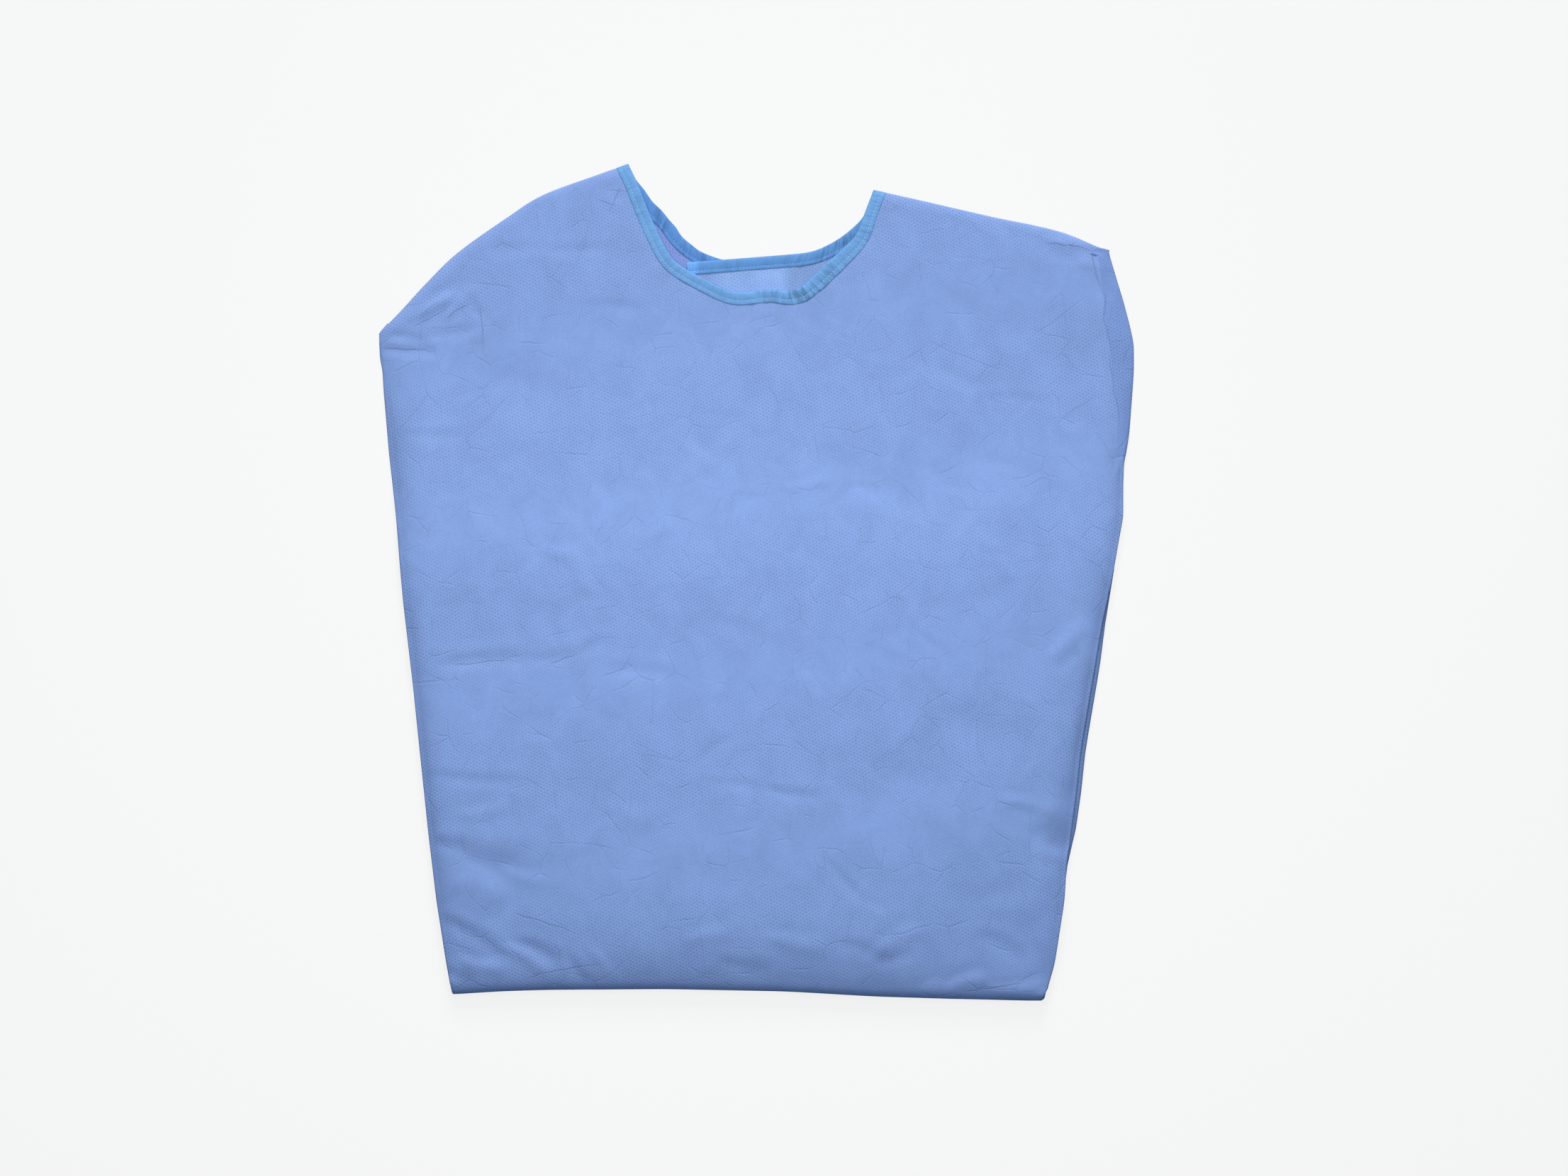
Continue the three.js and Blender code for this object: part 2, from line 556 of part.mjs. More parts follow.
// The hidden layers as one solid: an upper lobe inside the front's side folds, and a lower
// lobe inside the turned-up skirt, stepped at the hem where its layers end one by one
const CORE_SECTIONS = [
  { y: -356, low: 5.2, high: 11.6, lobes: "none" },
  { y: -352, low: 3.4, high: 12.8, lobes: "none" },
  { y: -347, low: 2.2, high: 13.6, lobes: "none" },
  { y: -338, low: 2, lobes: "upper" },
  { y: -329, low: 2, lobes: "upper" },
  { y: -325, low: 2, lobes: "both" },
  { y: -287, low: 2, lobes: "both" },
  { y: -229, low: 2, lobes: "both" },
  { y: -172, low: 2, lobes: "both" },
  { y: -95, low: 2, lobes: "both" },
  { y: -18, low: 2, lobes: "both" },
  { y: 11.5, low: 2, lobes: "both" },
  { y: 12.5, low: 2, lobes: "upper" },
  { y: 12.9, low: 3.6, lobes: "upper" },
  { y: 15.6, low: 3.7, lobes: "upper" },
  { y: 16.0, low: 5.2, lobes: "upper" },
  { y: 18.6, low: 5.3, lobes: "upper" },
  { y: 19.0, low: 6.8, lobes: "upper" },
  { y: 24, low: 6.4, lobes: "upper" },
  { y: 36, low: 0, lobes: "upper" },
  { y: 50, low: 0, lobes: "upper" },
  { y: 85, low: 0, lobes: "upper" },
  { y: 116, low: 0, lobes: "upper" },
  { y: 150, low: 0, lobes: "upper" },
  { y: CORE_TOP_Y, low: 0, lobes: "upper" },
];
const LOBE_STEPS = 4;
const LOWER_LOBE = { low: 2, high: 6.8 };
const FOOT = { width: 0.6, height: 1.2 };

function coreSection({ y, low, high, lobes }) {
  const top = high ?? layerTop(BOTTOM_MIDDLE_X, y) - CLOTH - FOLD_ALLOWANCE;
  const shelf = lookUp(LAYERS, "y", y, "base") + CLOTH + CORE_CLEARANCE;
  const upperLow = Math.min(shelf, top - 0.8);
  const roll = sideRoll(BOTTOM_MIDDLE_X, y);
  const side = (sign, edge, skirt) => {
    const upperEdge = lookUp(edge, "y", y, "x");
    const lowerEdge = lookUp(skirt, "y", y, "x");
    const slotX = upperEdge - sign * (roll + SIDE_TUCK + 2);
    const points = [];
    const arc = (x, bottom, high2, reach) => {
      for (let k = 0; k <= LOBE_STEPS; k += 1) {
        const turn = (Math.PI * k) / LOBE_STEPS;
        const middle = (bottom + high2) / 2;
        const half = (high2 - bottom) / 2;
        points.push(new THREE.Vector3(
          x + sign * Math.sin(turn) * reach, y, middle + half * Math.cos(turn)));
      }
    };
    if (lobes === "none") arc(slotX, upperLow, top, 0.4);
    else arc(upperEdge - sign * (roll + 1), upperLow, top, roll - CLOTH - LOBE_CLEARANCE);
    const ledge = Math.min(upperLow - 0.4, low + FOOT.height);
    points.push(new THREE.Vector3(slotX - sign * 0.4, y, upperLow - 0.1));
    if (lobes === "both") {
      points.push(new THREE.Vector3(slotX, y, LOWER_LOBE.high));
      const half = (LOWER_LOBE.high - LOWER_LOBE.low) / 2;
      arc(lowerEdge - sign * (SKIRT_ROLL + 1), LOWER_LOBE.low, LOWER_LOBE.high, half);
    } else {
      points.push(new THREE.Vector3(slotX, y, ledge + 0.2));
      arc(slotX + sign * 0.1, low, ledge, FOOT.width);
    }
    return points;
  };
  const right = side(1, RIGHT_EDGE, SKIRT_RIGHT);
  const left = side(-1, LEFT_EDGE, SKIRT_LEFT);
  return [...right, ...left.reverse()];
}

// Colours and finish of the three cloths
function material(colour, roughness) {
  return new THREE.MeshStandardMaterial({ color: colour, roughness, metalness: 0 });
}

const gown = new THREE.Group();

function addPiece(name, geometry, colour, roughness) {
  const mesh = new THREE.Mesh(geometry, material(colour, roughness));
  mesh.name = name;
  gown.add(mesh);
}

// Which cells of the front's grid belong to which piece
const front = frontGrid();
const frontNormals = gridNormals(front);
const SIDE_COLUMNS = SIDE_ROLL_STEPS + 1;
const seamCell = SIDE_COLUMNS + LEFT_SHOULDER_CELLS + NECK_CELLS + RIGHT_SHOULDER_CELLS;
const leftSleeveRows = EDGE_ROW_INSETS.length + 1;
const rightSleeveRows = EDGE_ROW_INSETS.length + 6;
const inLeftSleeve = (i, j) => j < leftSleeveRows && i < SIDE_COLUMNS + LEFT_SLEEVE_CELLS;
const inRightSleeve = (i, j) => j < rightSleeveRows && i >= seamCell;
const inFront = (i, j) => !inLeftSleeve(i, j) && !inRightSleeve(i, j);

addPiece("front_panel", wall(front, frontNormals, CLOTH, inFront), CLOTH_COLOUR, 0.9);
addPiece("left_sleeve", wall(front, frontNormals, CLOTH, inLeftSleeve), CLOTH_COLOUR, 0.9);
addPiece("right_sleeve", wall(front, frontNormals, CLOTH, inRightSleeve), CLOTH_COLOUR, 0.9);

const firstNeckColumn = SIDE_COLUMNS + LEFT_SHOULDER_CELLS;
const lastNeckColumn = firstNeckColumn + NECK_CELLS;
addPiece("front_neck_binding",
  neckBinding(front, frontNormals, firstNeckColumn, lastNeckColumn, CLOTH),
  BINDING_COLOUR, 0.8);

// The two backs, seen inside the neck: the right one is laid over the left one
const always = () => true;
const SHOULDER_STEPS = 8;
const BACK_NECK_STEPS = 14;
const OVERLAP_LIFT = 2 * INNER_CLOTH + 2 * GAP;

const backLeftEdge = [
  ...pointsAlong(BACK_LEFT_SHOULDER, SHOULDER_STEPS),
  ...pointsAlong(BACK_LEFT_NECK, BACK_NECK_STEPS),
];
const backLeft = backPanelGrid(
  backLeftEdge, { x: -303 }, { x: 45 }, () => INNER_CLOTH);
const backLeftNormals = gridNormals(backLeft);
addPiece("back_left_panel",
  wall(backLeft, backLeftNormals, INNER_CLOTH, always), INSIDE_COLOUR, 0.9);
addPiece("back_left_neck_binding",
  neckBinding(backLeft, backLeftNormals, SHOULDER_STEPS + 1,
    SHOULDER_STEPS + 1 + BACK_NECK_STEPS, INNER_CLOTH),
  BINDING_COLOUR, 0.8);

const backRightEdge = [
  ...pointsAlong(BACK_RIGHT_NECK, BACK_NECK_STEPS),
  ...pointsAlong(BACK_RIGHT_SHOULDER, SHOULDER_STEPS),
];
const backRightHeight = (x) => INNER_CLOTH + OVERLAP_LIFT * (1 - smoothStep((x - 48) / 45));
const backRight = backPanelGrid(backRightEdge, { x: -60 }, { x: 286 }, backRightHeight);
const backRightNormals = gridNormals(backRight);
addPiece("back_right_panel",
  wall(backRight, backRightNormals, INNER_CLOTH, always), INSIDE_COLOUR, 0.9);
addPiece("back_right_neck_binding",
  neckBinding(backRight, backRightNormals, 0, BACK_NECK_STEPS, INNER_CLOTH),
  BINDING_COLOUR, 0.8);

const coreSections = CORE_SECTIONS.map(coreSection);
addPiece("folded_layers",
  loft(coreSections, (row) => coreSections[row].map((p) => new THREE.Vector2(p.x, p.z))),
  CLOTH_COLOUR, 0.9);

export default gown;
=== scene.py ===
"""Looks of the folded surgical gown: cloth, folds, seams, bindings and stitches, and the stage.

The gown lies front up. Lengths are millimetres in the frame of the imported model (X to the right of
the front, Y towards the neck, Z up), and become metres when a mesh is made.
"""
import math

import bmesh
import bpy
import numpy as np
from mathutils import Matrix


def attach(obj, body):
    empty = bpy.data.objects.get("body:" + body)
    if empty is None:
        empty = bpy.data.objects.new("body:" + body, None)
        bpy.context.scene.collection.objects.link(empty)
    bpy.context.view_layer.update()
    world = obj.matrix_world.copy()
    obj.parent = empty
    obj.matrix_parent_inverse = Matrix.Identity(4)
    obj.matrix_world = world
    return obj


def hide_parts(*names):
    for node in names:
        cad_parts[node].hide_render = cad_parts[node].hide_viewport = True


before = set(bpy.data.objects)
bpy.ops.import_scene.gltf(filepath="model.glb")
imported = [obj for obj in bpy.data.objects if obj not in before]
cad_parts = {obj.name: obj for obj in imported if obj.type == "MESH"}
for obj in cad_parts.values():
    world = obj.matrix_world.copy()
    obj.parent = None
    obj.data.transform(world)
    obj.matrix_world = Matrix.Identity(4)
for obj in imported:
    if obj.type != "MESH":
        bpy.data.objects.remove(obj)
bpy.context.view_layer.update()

bl_info = {
    "name": "Folded surgical gown",
    "version": (1, 0, 0),
    "blender": (4, 5, 0),
    "location": "3D View > Sidebar > Gown",
    "description": "Builds a folded surgical gown's cloth, bindings and stitches, and the stage",
    "category": "Add Mesh",
}

MM = 0.001
CLOTH_MAP = "cloth_flat"
OUTER_FACE = "Embossed spunbond polypropylene, outer face"
INNER_FACE = "Embossed spunbond polypropylene, inner face"
BINDING_CLOTH = "Folded binding strip of polypropylene"
# Edges that turn by more than this are sharp
CUT_EDGE_DEGREES = 48
BINDING_EDGE_DEGREES = 60
# Rectangle in metres that the front is cut from
FRONT_CUT = (0.76, 1.2)
# The least and the most of its rectangle that a sheet takes
CUT_SHARES = (0.3, 1)

# Sizes that the solids and the cloth share. Rolls are radii of rolled edges, and tucks are how far
# the cloth goes on behind a side fold
BINDING_WIDTH = 11.3
NECK_LIP = 1.3
SHOULDER_HEIGHT = 3.4
NECK_RISE = 25.0
BOTTOM_ROLL = 11.0
BOTTOM_SIDE_ROLL = 3.5
SKIRT_ROLL = 4.4
HEM_Y = 12.0
BACK_PANEL_END = 175.0
SIDE_TUCK = 30.0
SKIRT_TUCK = 8.0
# The right back is lifted over the left one as far as x, and then comes down
BACK_HEIGHT = 1.0
OVERLAP_LIFT = 2.6
OVERLAP_END = 48.0
OVERLAP_FADE = 45.0
# Below the underarm the front goes on round the right side
UNDERARM_Y = 112.0
UNDERARM_FADE = 25.0

# Along the gown: y, the bundle's top surface, and the height of its underside
LAYERS = [
    (-366, 22.4, 8.8), (-357, 22.4, 8.8), (-325, 22.5, 9.6), (-230, 22.0, 9.6), (-100, 21.0, 9.6),
    (12, 19.2, 9.6),
    (50, 16.4, 5.6), (85, 13.2, 1.6), (112, 11.6, 0), (165, 8.8, 0), (200, 7.2, 0), (230, 6.7, 0),
    (290, 6.8, 0), (312, 6.0, 0), (345, 5.3, 0), (380, 5.2, 0),
]
# How far the top surface drops towards the bottom fold: distance from the fold's edge, drop
BOTTOM_DROP = [(4, 8.9), (11, 6.6), (20, 4.4), (33, 2.1), (42, 1.1), (52, 0.4), (62, 0)]
# The cloth is thinner at the low corners: distance from the bottom edge, how much lower it is
CORNER_DROP = [(0, 0), (12, 0.6), (25, 2.6), (40, 4.0), (55, 4.2), (80, 3.2), (110, 1.6),
               (140, 0.5), (170, 0)]
# Distance from the middle at which that sets in, and over which it grows
CORNER_START = 90
CORNER_REACH = 140
# How far the top surface drops towards the side folds where the bundle is thick: distance, drop
SIDE_DROP = [(0, 11.5), (3, 8.4), (6, 6.1), (9, 4.4), (13, 2.8), (18, 1.5), (24, 0.6), (33, 0.1),
             (40, 0)]
# It is thick where this much is left over the layers below and a clearance for the fold
FULL_SPARE = 8.4
FOLD_CLEARANCE = 4.0
# Turn in radians at which the curves of the bottom fold and the side folds set in
FOLD_TURN = 0.5
SIDE_TURN = 0.6
SIDE_ROLL = 3.0
# The right sleeve's fold lies lower than the front, from y on and growing over a distance
SLEEVE_DROP = 2.3
SLEEVE_START = 100
SLEEVE_FADE = 40

# Outline seen from above. Sides: (y, x). Bottom, shoulders and necks: (x, y)
LEFT_EDGE = [
    (-373, -275), (-345, -280), (-287, -289), (-229, -296), (-172, -302), (-95, -310), (-18, -319),
    (59, -326), (116, -333), (174, -338), (193, -339), (203, -341.5), (225, -342),
]
RIGHT_EDGE = [
    (-378, 260.5), (-364, 264), (-345, 269.5), (-287, 278.5), (-252, 280.5), (-229, 284),
    (-191, 289), (-153, 293), (-114, 299.5), (-76, 306), (-37, 312.5), (1, 321), (39, 328),
    (59, 332), (97, 332.5), (109, 333), (116, 335), (135, 338), (174, 341), (193, 342.2),
    (216, 342.2), (231, 339), (254, 333), (277, 326), (300.5, 319),
]
RIGHT_SEAM = [
    (-367, 246), (-229, 267), (-37, 296), (59, 315), (112, 326), (161, 326.5), (205, 321),
    (261, 313.5), (303, 309),
]
SKIRT_LEFT = [(-373, -275), (-345, -278), (-287, -286), (-229, -293), (-95, -307), (12, -318)]
SKIRT_RIGHT = [
    (-378, 260.5), (-364, 264), (-345, 269.5), (-287, 278), (-250, 282.5), (-229, 288.5),
    (-191, 294), (-153, 298), (-114, 304.5), (-76, 311), (-37, 316), (12, 324),
]
BOTTOM_EDGE = [
    (-275, -373), (-232, -370), (-186, -368.5), (-79, -367.8), (29, -370), (106, -374.5),
    (170, -376.5), (260.5, -378.6),
]
LEFT_SHOULDER = [
    (-338.5, 229), (-321, 247), (-298, 272), (-270, 299), (-225, 331), (-193, 351), (-143, 369.5),
    (-116, 379.2),
]
FRONT_NECK = [
    (-116, 379.2), (-106, 358), (-97, 334.5), (-80, 299), (-68, 286.5), (-40, 271), (-19, 262.5),
    (12, 265), (32, 263.5), (41, 267.5), (54, 280), (81, 305), (91, 316), (97, 332), (106, 355.5),
]
RIGHT_SHOULDER = [(106, 355.5), (146, 346.6), (214, 331), (251, 323.5), (280, 316), (309, 304)]
BACK_LEFT_NECK = [
    (-112, 369), (-97, 349), (-90, 339), (-80, 330.5), (-70, 316), (-56, 303), (-40, 295),
    (-24, 291.5), (8, 287), (45, 286),
]
BACK_RIGHT_NECK = [
    (-63, 290), (-29, 292.5), (8, 295.4), (45, 298.6), (58, 302.4), (77, 313), (97, 331),
    (102, 344),
]
BACK_LEFT_SHOULDER = [
    (-303, 264), (-270, 297.5), (-225, 329.5), (-193, 349.5), (-143, 368), (-117, 377),
]
BACK_RIGHT_SHOULDER = [(107, 353), (146, 345), (214, 329.5), (251, 322), (286, 312)]

# Lattice of random values that the noise comes from, and the place in it at the origin
LATTICE_CELLS = 64
LATTICE_START = (31.7, 29.3)
# Relief all over the cloth: size, height, seed, and direction in degrees
SWELLS = ((118, 0.6, 1, 20), (62, 0.3, 2, 55), (31, 0.14, 3, 80))
RIDGES = ((64, 0.14, 4, 33), (41, 0.09, 5, 71), (27, 0.05, 6, 12))
CREASE_STRENGTH = 0.95
# Creases of the front: from x, y to x, y, bow to the left of that way, width of the
# soft ridge (height above 0) or trough (below 0), and height
CREASES = [
    # armhole seam of the right sleeve
    (304, 305, 313, 256, 0, 4.2, -1.5), (313, 262, 321, 203, 0.5, 3.8, -0.8),
    (321, 209, 327, 140, 1, 3.8, -0.7),
    # vertical press line down the middle left of centre
    (-71, -147, -71, -242, 0, 5.2, -0.55), (-71, -240, -72, -343, 0, 4.5, -0.6),
    # cross fold left
    (-285, -74, -205, -70, 2, 6, -0.75), (-205, -70, -161, -65, -1, 4.5, -0.55),
    (-161, -66, -133, -52, 2, 4.5, -0.6), (-136, -79, -71, -86, 3, 6, -0.6),
    # second cross fold
    (-296, -173, -205, -180, -2, 5.2, -0.55), (-46, -181, 7, -186, 2, 4.5, -0.35),
    (7, -186, 60, -192, -2, 4.5, -0.55),
    # upper left
    (-241, 303, -189, 301, 0, 4.5, -0.45), (-189, 301, -131, 303, -2, 4.5, -0.55),
    (-160, 251, -96, 245, 2, 4.5, -0.5), (-322, 134, -262, 132, -1, 4.5, -0.45),
    (-250, 240, -252, 216, 3, 6, 0.6),
    # soft hollow
    (-262, 192, -160, 168, -5, 24, -0.9),
    # middle V
    (9, 105, 26, 87, 3, 4.5, 0.55), (26, 85, 60, 89, -3, 5.2, 0.7), (31, 81, 71, 83, 2, 3.8, -0.45),
    (81, 87, 116, 81, 1, 4.5, -0.4), (33, 17, 51, 62, 3, 3.8, -0.35),
    # arcs
    (-196, 32, -158, 28, -4, 5.2, 0.55), (-158, 28, -151, -10, -6, 5.2, 0.6),
    (-184, 22, -177, -10, 4, 12, -0.5), (193, 60, 224, 28, -8, 4.5, 0.45),
    (224, 28, 233, 1, -3, 4.5, 0.45), (136, -5, 144, -40, -3, 3.8, 0.35),
    (144, -40, 171, -63, -4, 3.8, -0.35),
    # diagonals
    (-51, -161, -18, -137, 2, 3.8, -0.45), (-25, -162, -30, -193, -2, 3.8, -0.5),
    (59, -246, 98, -291, 1, 3.8, -0.5), (98, -291, 116, -302, 0, 3.8, 0.35),
    # broad soft troughs
    (236, 158, 104, 60, 6, 34, -1.3), (240, -108, 86, -238, -9, 36, -1.4),
    (164, -122, 246, -160, 4, 18, -0.6), (116, -170, 186, -184, 0, 15, -0.4),
    # right side
    (265, -69, 297, -39, 2, 6, 0.75), (271, -78, 292, -61, 0, 4.5, -0.55),
    (219, -193, 270, -206, -2, 5.2, 0.7), (230, -202, 262, -208, 0, 6, -0.6),
    (246, -224, 286, -238, 0, 14, -1.3), (282, -180, 266, -258, 2, 9, -1.1),
    (256, -243, 283, -251, 0, 6, 0.75), (198, 166, 266, 162, 3, 3.8, -0.35),
    (266, 163, 285, 131, -3, 4.5, 0.4), (286, 150, 305, 85, 5, 6.8, 0.45),
    (166, 198, 198, 177, -3, 6.8, -0.5), (71, 216, 113, 177, -4, 12, -0.55),
    # left side low
    (-291, -235, -260, -240, 0, 6.8, -0.9), (-269, -241, -213, -260, -3, 12, -1.2),
    (-232, -256, -189, -270, -3, 5.2, 0.6), (-279, -270, -226, -285, 3, 10, 0.55),
    (-271, -210, -222, -199, -3, 5.2, 0.45),
    # bottom left
    (-284, -304, -225, -344, 4, 6.8, -0.95), (-270, -339, -225, -347, -3, 5.2, 0.85),
    (-232, -328, -187, -356, 5, 5.2, 0.85), (-215, -325, -177, -344, 3, 6, -0.8),
    (-170, -334, -145, -366, -4, 5.2, -0.75), (-150, -330, -130, -360, 2, 5.2, 0.55),
    (-285, -350, -251, -364, 0, 5.2, -0.6),
    # bottom middle
    (-67, -323, -21, -316, 2, 6, 0.6), (7, -317, 63, -328, -3, 6.8, 0.7),
    (-35, -341, 18, -352, -2, 6.8, -0.5), (71, -325, 120, -345, 4, 6, -0.6),
    # bottom right
    (103, -337, 149, -313, 3, 6, 0.8), (111, -343, 143, -334, 0, 4.5, -0.6),
    (139, -371, 173, -362, 0, 4.5, 0.55), (167, -369, 210, -357, 2, 5.2, 0.95),
    (212, -368, 265, -362, -2, 4.5, 0.8), (198, -317, 241, -344, 4, 6.8, -0.6),
    (209, -295, 256, -285, -3, 10, 0.5),
    # top right corner
    (260, 304, 307, 301, -2, 4, -0.8), (262, 298, 292, 291, 0, 4, -0.7),
    (287, 290, 313, 286, 0, 4, 0.6), (209, 330, 262, 310, -4, 6, -0.45),
    (166, 337, 215, 320, 2, 6.8, 0.35),
    # top left corner
    (-329, 231, -250, 263, 5, 5.2, 0.7), (-307, 239, -271, 260, 2, 4, 0.9),
    (-280, 239, -262, 257, 1, 3.8, 0.9), (-338, 224, -294, 212, 3, 4.5, -0.9),
    (-340, 212, -288, 208, -1, 4, -1.2), (-301, 224, -252, 231, -3, 4.5, -0.6),
    (-260, 260, -252, 240, 0, 4, -0.8),
    # beside the neck
    (-136, 351, -124, 364, 1, 4, -0.8), (-132, 344, -119, 355, 0, 3.8, -0.7),
    (-139, 355, -131, 337, 2, 4.5, 0.45), (113, 342, 126, 333, 0, 3.8, -0.45),
    (118, 348, 129, 320, -2, 5.2, 0.3),
    # short wrinkles over the middle
    (-115, 150, -78, 166, 3, 5.2, -0.35), (-67, 130, -37, 102, -3, 6, 0.35),
    (-25, 60, 2, 81, 3, 5.2, -0.35), (-35, 28, -25, -4, 2, 5.2, -0.3),
    (-96, 102, -93, 60, -3, 6, 0.3), (-232, 102, -205, 124, 2, 6, -0.35),
    (2, 240, 39, 213, 4, 6.8, -0.35), (166, 267, 209, 240, -4, 10, -0.4),
    (-41, -35, 7, -51, 3, 6.8, -0.35), (28, -67, 60, -110, -4, 6.8, 0.35),
    (92, -57, 129, -78, 3, 6.8, -0.35), (-136, -200, -88, -216, -3, 6.8, 0.3),
    (-232, -4, -200, -41, 4, 10, -0.4), (-263, 71, -242, 28, 3, 6.8, 0.35),
    (-67, 288, -25, 224, 4, 12, -0.35),
]


def look_up(table, at):
    """Straight-line value of a table of (place, value) rows at an array of places."""
    rows = np.array(table, float)
    return np.interp(at, rows[:, 0], rows[:, 1])


def smooth_table(table, column, spread):
    """A table's value along its first column, blurred by a bell curve, as (place, value) rows."""
    rows = np.array(table, float)
    step = 2.0
    at = np.arange(rows[0, 0] - 90, rows[-1, 0] + 90, step)
    reach = np.arange(-3 * spread, 3 * spread + step, step)
    bell = np.exp(-0.5 * (reach / spread) ** 2)
    margin = len(reach) // 2
    values = np.pad(np.interp(at, rows[:, 0], rows[:, column]), margin, "edge")
    return np.column_stack([at, np.convolve(values, bell / bell.sum(), "valid")[:len(at)]])


def smooth_step(value):
    """Rises from 0 to 1 as 3t squared less 2t cubed."""
    t = np.clip(value, 0, 1)
    return t * t * (3 - 2 * t)


def curve_through(outline, per_stretch=12):
    """A Catmull-Rom curve through an outline's points: each stretch is a cubic whose slopes at its
    ends are half the way from the point before to the point after."""
    points = np.array(outline, float)
    before = np.vstack([2 * points[0] - points[1], points[:-2]])
    after = np.vstack([points[2:], 2 * points[-1] - points[-2]])
    start, end = points[:-1, None], points[1:, None]
    out = (points[1:] - before)[:, None] / 2
    arrive = (after - points[:-1])[:, None] / 2
    t = np.linspace(0, 1, per_stretch, endpoint=False)[None, :, None]
    curve = (start * (2 * t ** 3 - 3 * t ** 2 + 1) + end * (3 * t ** 2 - 2 * t ** 3)
             + out * (t ** 3 - 2 * t ** 2 + t) + arrive * (t ** 3 - t ** 2))
    return np.vstack([curve.reshape(-1, 2), points[-1]])


def distances(points):
    """How far along a line of points each one is."""
    return np.concatenate([[0], np.cumsum(np.linalg.norm(np.diff(points, axis=0), axis=1))])


def places_along(points, along, at):
    """Places at the given distances along a line of points."""
    return np.column_stack([np.interp(at, along, points[:, k]) for k in (0, 1)])


def softened(outline, spread, step=2.0):
    """An outline's curve at even steps, blurred along its length by a bell curve. Beyond its ends
    it goes on as its own mirror image through the end point, which keeps both ends in place."""
    curve = curve_through(outline)
    along = distances(curve)
    points = places_along(curve, along, np.linspace(0, along[-1], int(along[-1] / step) + 1))
    margin = int(3 * spread / step)
    bell = np.exp(-0.5 * (np.arange(-margin, margin + 1) * step / spread) ** 2)
    before = 2 * points[0] - points[margin:0:-1]
    after = 2 * points[-1] - points[-2:-margin - 2:-1]
    padded = np.vstack([before, points, after])
    soft = np.column_stack([np.convolve(padded[:, k], bell / bell.sum(), "valid") for k in (0, 1)])
    return np.vstack([soft[:-2:3], soft[-1:]])


def inset_stretch(outline, depth, shares, trim_start, trim_end, window=2.5):
    """Points on an outline moved to its right by a depth: the place at each share of the outline's
    length plus depth times the unit normal there, taken from the places a window ahead and behind.
    Each end is first trimmed by its factor times the depth, so that neighbouring stretches meet on
    the line that halves their corner."""
    beyond = 40
    curve = curve_through(outline)
    first = curve[0] - beyond * (curve[1] - curve[0]) / np.linalg.norm(curve[1] - curve[0])
    last = curve[-1] + beyond * (curve[-1] - curve[-2]) / np.linalg.norm(curve[-1] - curve[-2])
    longer = np.vstack([first, curve, last])
    along = distances(longer) - beyond
    low = trim_start * depth
    high = distances(curve)[-1] - trim_end * depth
    place = low + (high - low) * shares
    at, ahead, behind = (places_along(longer, along, place + shift)
                         for shift in (0, window, -window))
    way = ahead - behind
    way /= np.linalg.norm(way, axis=1)[:, None]
    depth = np.broadcast_to(np.asarray(depth, float), place.shape)
    return at + np.column_stack([way[:, 1], -way[:, 0]]) * depth[:, None]


def corner_trim(arriving, leaving):
    """Tangent of half the turn between two outlines at the corner where they meet."""
    a = np.subtract(curve_through(arriving)[-1], curve_through(arriving)[-2])
    b = np.subtract(curve_through(leaving)[1], curve_through(leaving)[0])
    turn = math.atan2(a[0] * b[1] - a[1] * b[0], a @ b)
    return math.tan(-turn / 2)


def shoulder_cut(arriving, leaving):
    """Trim that ends a strip on the shoulder's line: one over the tangent of the corner's angle."""
    return 1 / math.tan(math.pi - 2 * math.atan(corner_trim(arriving, leaving)))


def distance_inside(place, start, end):
    """Distance of places to the right of the line from start to end."""
    ex, ey = np.subtract(end, start) / math.dist(start, end)
    return (place[:, 0] - start[0]) * ey - (place[:, 1] - start[1]) * ex


FRONT_NECK_LINE = softened(FRONT_NECK, 4.0)
BACK_LEFT_LINE = softened(BACK_LEFT_NECK, 6.0)
BACK_RIGHT_LINE = softened(BACK_RIGHT_NECK, 6.0)
NECK_WINDOW = 7.0
TOP_TABLE = smooth_table(LAYERS, 1, 11)
LEFT_LINE = smooth_table(LEFT_EDGE, 1, 4)
RIGHT_LINE = smooth_table(RIGHT_EDGE, 1, 4)
SIDE_DROP_TABLE = smooth_table(SIDE_DROP, 1, 2)
BASE_TABLE = smooth_table(LAYERS, 2, 5)
DROP_TABLE = smooth_table(BOTTOM_DROP, 1, 3)
CORNER_TABLE = smooth_table(CORNER_DROP, 1, 8)
BOTTOM_LINE = smooth_table(BOTTOM_EDGE, 1, 10)


def crease_height(x, y, creases):
    """Sum over the creases: height times a bell curve of the distance from a line bowed like a
    parabola, fading to nothing at both ends, with a weaker opposite bell on one side."""
    total = np.zeros_like(x)
    for x1, y1, x2, y2, bow, width, height in creases:
        length = math.hypot(x2 - x1, y2 - y1)
        ex, ey = (x2 - x1) / length, (y2 - y1) / length
        along = ((x - x1) * ex + (y - y1) * ey) / length
        across = -(x - x1) * ey + (y - y1) * ex - bow * 4 * along * (1 - along)
        fade = smooth_step((along + 0.08) / 0.3) * smooth_step((1.08 - along) / 0.3)
        side = across / (width * (0.75 + 0.5 * np.clip(along, 0, 1)))
        total += height * fade * (np.exp(-side ** 2) - 0.45 * np.exp(-(side - 1.7) ** 2))
    return total


